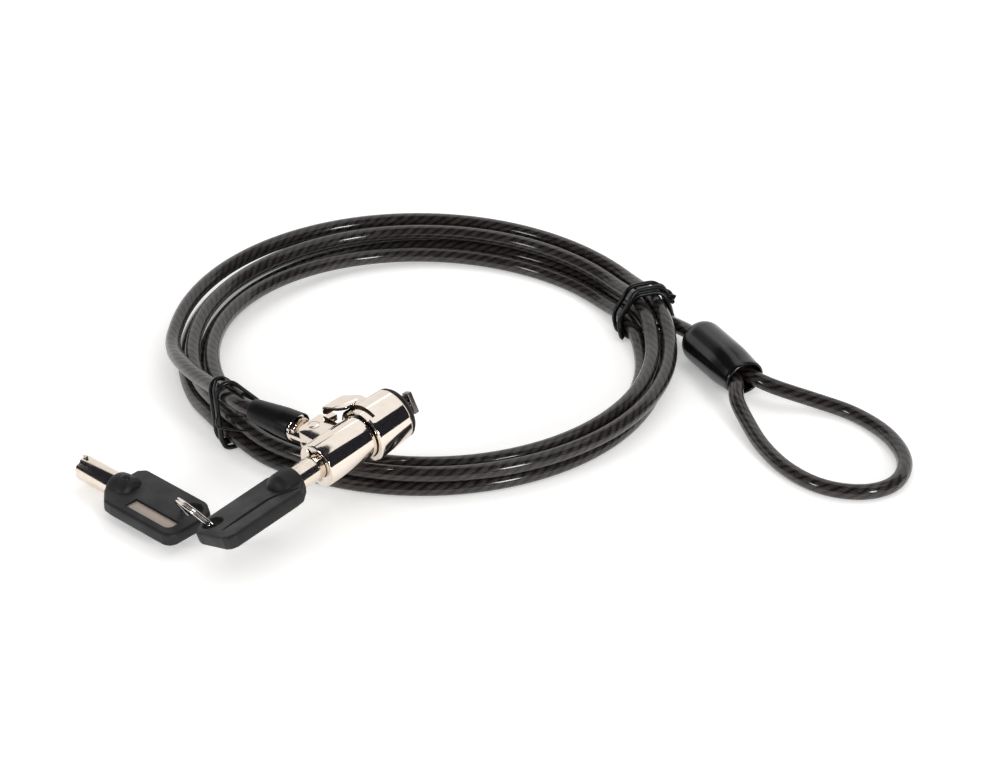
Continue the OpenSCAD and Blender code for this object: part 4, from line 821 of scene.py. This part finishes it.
BRASS_NODES = ["cylinder_shell", "driver_pins", "key_pins", "cylinder_plug", "spindle_bush"]
for material, names in ((TURNED_BRASS, BRASS_NODES),
                        (SPRING_STEEL, ["pin_springs", "collar_spring", "retaining_clip"]),
                        (GROUND_STEEL, ["shell_pin", "stop_pin", "stop_cam"]),
                        (FERRULE_ALLOY, ["eye_crimp"])):
    for name in names:
        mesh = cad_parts[name].data
        mesh.materials.clear()
        mesh.materials.append(material)

# ---------- table, light and surroundings ----------


def seen_plainly(tree):
    """1 for camera, glossy and transmission rays, 0 for the rest: the white surroundings that the eye, metal
    and glass see, with no more light on the object."""
    rays = add(tree, "LightPath").node.outputs
    both = add(tree, "Math", rays["Is Camera Ray"], rays["Is Glossy Ray"], operation="MAXIMUM")
    return add(tree, "Math", both, rays["Is Transmission Ray"], operation="MAXIMUM")


def plain(name, corners, material):
    """One flat face, for the table and the dark cards."""
    mesh = bpy.data.meshes.new(name)
    mesh.from_pydata(corners, [], [[0, 1, 2, 3]])
    mesh.materials.append(material)
    thing = bpy.data.objects.new(name, mesh)
    scene.collection.objects.link(thing)
    return thing


def white_table_laminate(glow):
    """White matt laminate, very faintly mottled; it shows brighter than its light to the eye and to metal."""
    m, tree, where = finish_named("white_table_laminate")
    mottled = add(tree, "TexNoise", Vector=where, Scale=per_mm(40), Detail=2)
    tone = add(tree, "MixRGB", mottled, paint("#f7f6f5"), paint("#f9f9f8"))
    glowing = add(tree, "Math", seen_plainly(tree), glow, operation="MULTIPLY")
    add(tree, "OutputMaterial", add(
        tree, "BsdfPrincipled", Base_Color=tone, Roughness=0.9, Specular_IOR_Level=0.1,
        Emission_Color=(1, 1, 1, 1), Emission_Strength=glowing))
    return m


def dark_felt_card():
    """Card faced with blue-grey felt, dull and soft, so that it shows in metal as an even dark tone."""
    m, tree, where = finish_named("dark_felt_card")
    matted = add(tree, "TexNoise", Vector=where, Scale=per_mm(60), Detail=2)
    tone = add(tree, "MixRGB", matted, paint("#2a2b33"), paint("#32333b"))
    add(tree, "OutputMaterial", add(
        tree, "BsdfPrincipled", Base_Color=tone, Roughness=0.9, Specular_IOR_Level=0.0))
    return m


plain("table", [[-4, -4, 0], [4, -4, 0], [4, 4, 0], [-4, 4, 0]], white_table_laminate(0.30))

# Dark cards that only reflections see: the unlit part of the room round the camera, the ceiling and both
# sides. The room behind the object stays open and white.
FELT = dark_felt_card()
WALL, LOW, HIGH, BACK, RIGHT_END, LEFT_END = 1.6, 0.01, 1.0, 0.95, 0.70, 0.50
ceiling = [[-WALL, -WALL, HIGH], [WALL, -WALL, HIGH], [WALL, BACK, HIGH], [-WALL, BACK, HIGH]]
front = [[-WALL, -WALL, LOW], [WALL, -WALL, LOW], [WALL, -WALL, HIGH], [-WALL, -WALL, HIGH]]
right = [[WALL, -WALL, LOW], [WALL, RIGHT_END, LOW], [WALL, RIGHT_END, HIGH], [WALL, -WALL, HIGH]]
left = [[-WALL, -WALL, LOW], [-WALL, LEFT_END, LOW], [-WALL, LEFT_END, HIGH], [-WALL, -WALL, HIGH]]
for name, corners in (("ceiling_card", ceiling), ("front_card", front), ("right_card", right),
                      ("left_card", left)):
    card = plain(name, corners, FELT)
    card.visible_camera = card.visible_diffuse = card.visible_shadow = card.visible_transmission = False


def soft_box(name, location, aim, size, watts, along=(0, 0, 1)):
    """A rectangular soft lamp that looks at a point; its longer side lies along a direction."""
    lamp = bpy.data.lights.new(name, "AREA")
    lamp.shape, lamp.energy = "RECTANGLE", watts
    lamp.size, lamp.size_y = size
    thing = bpy.data.objects.new(name, lamp)
    z = unit(np.subtract(location, aim))
    x = unit(np.cross(along, z))
    turn = np.eye(4)
    turn[:3, 0], turn[:3, 1], turn[:3, 2], turn[:3, 3] = x, np.cross(z, x), z, location
    thing.matrix_world = Matrix(turn)
    scene.collection.objects.link(thing)


soft_box("overhead_strip", (0.27, 0.345, 0.85), (0.03, 0.02, 0), (0.36, 1.15), 1.4, along=(1, -1, 0))
soft_box("right_box", (0.70, -0.83, 0.42), (0.05, 0.02, 0), (0.2, 0.26), 5.0)
soft_box("left_box", (-0.85, -0.55, 0.42), (0.05, 0.05, 0), (0.2, 0.26), 2.4)

LIT, SHOWN = 0.68, 1.0
world = bpy.data.worlds.new("studio")
scene.world = world
world.use_nodes = True
tree = world.node_tree
tree.nodes.clear()
level = add(tree, "MapRange", seen_plainly(tree), 0.0, 1.0, LIT, SHOWN)
add(tree, "OutputWorld", add(tree, "Background", Color=(1.0, 0.995, 0.985, 1), Strength=level))
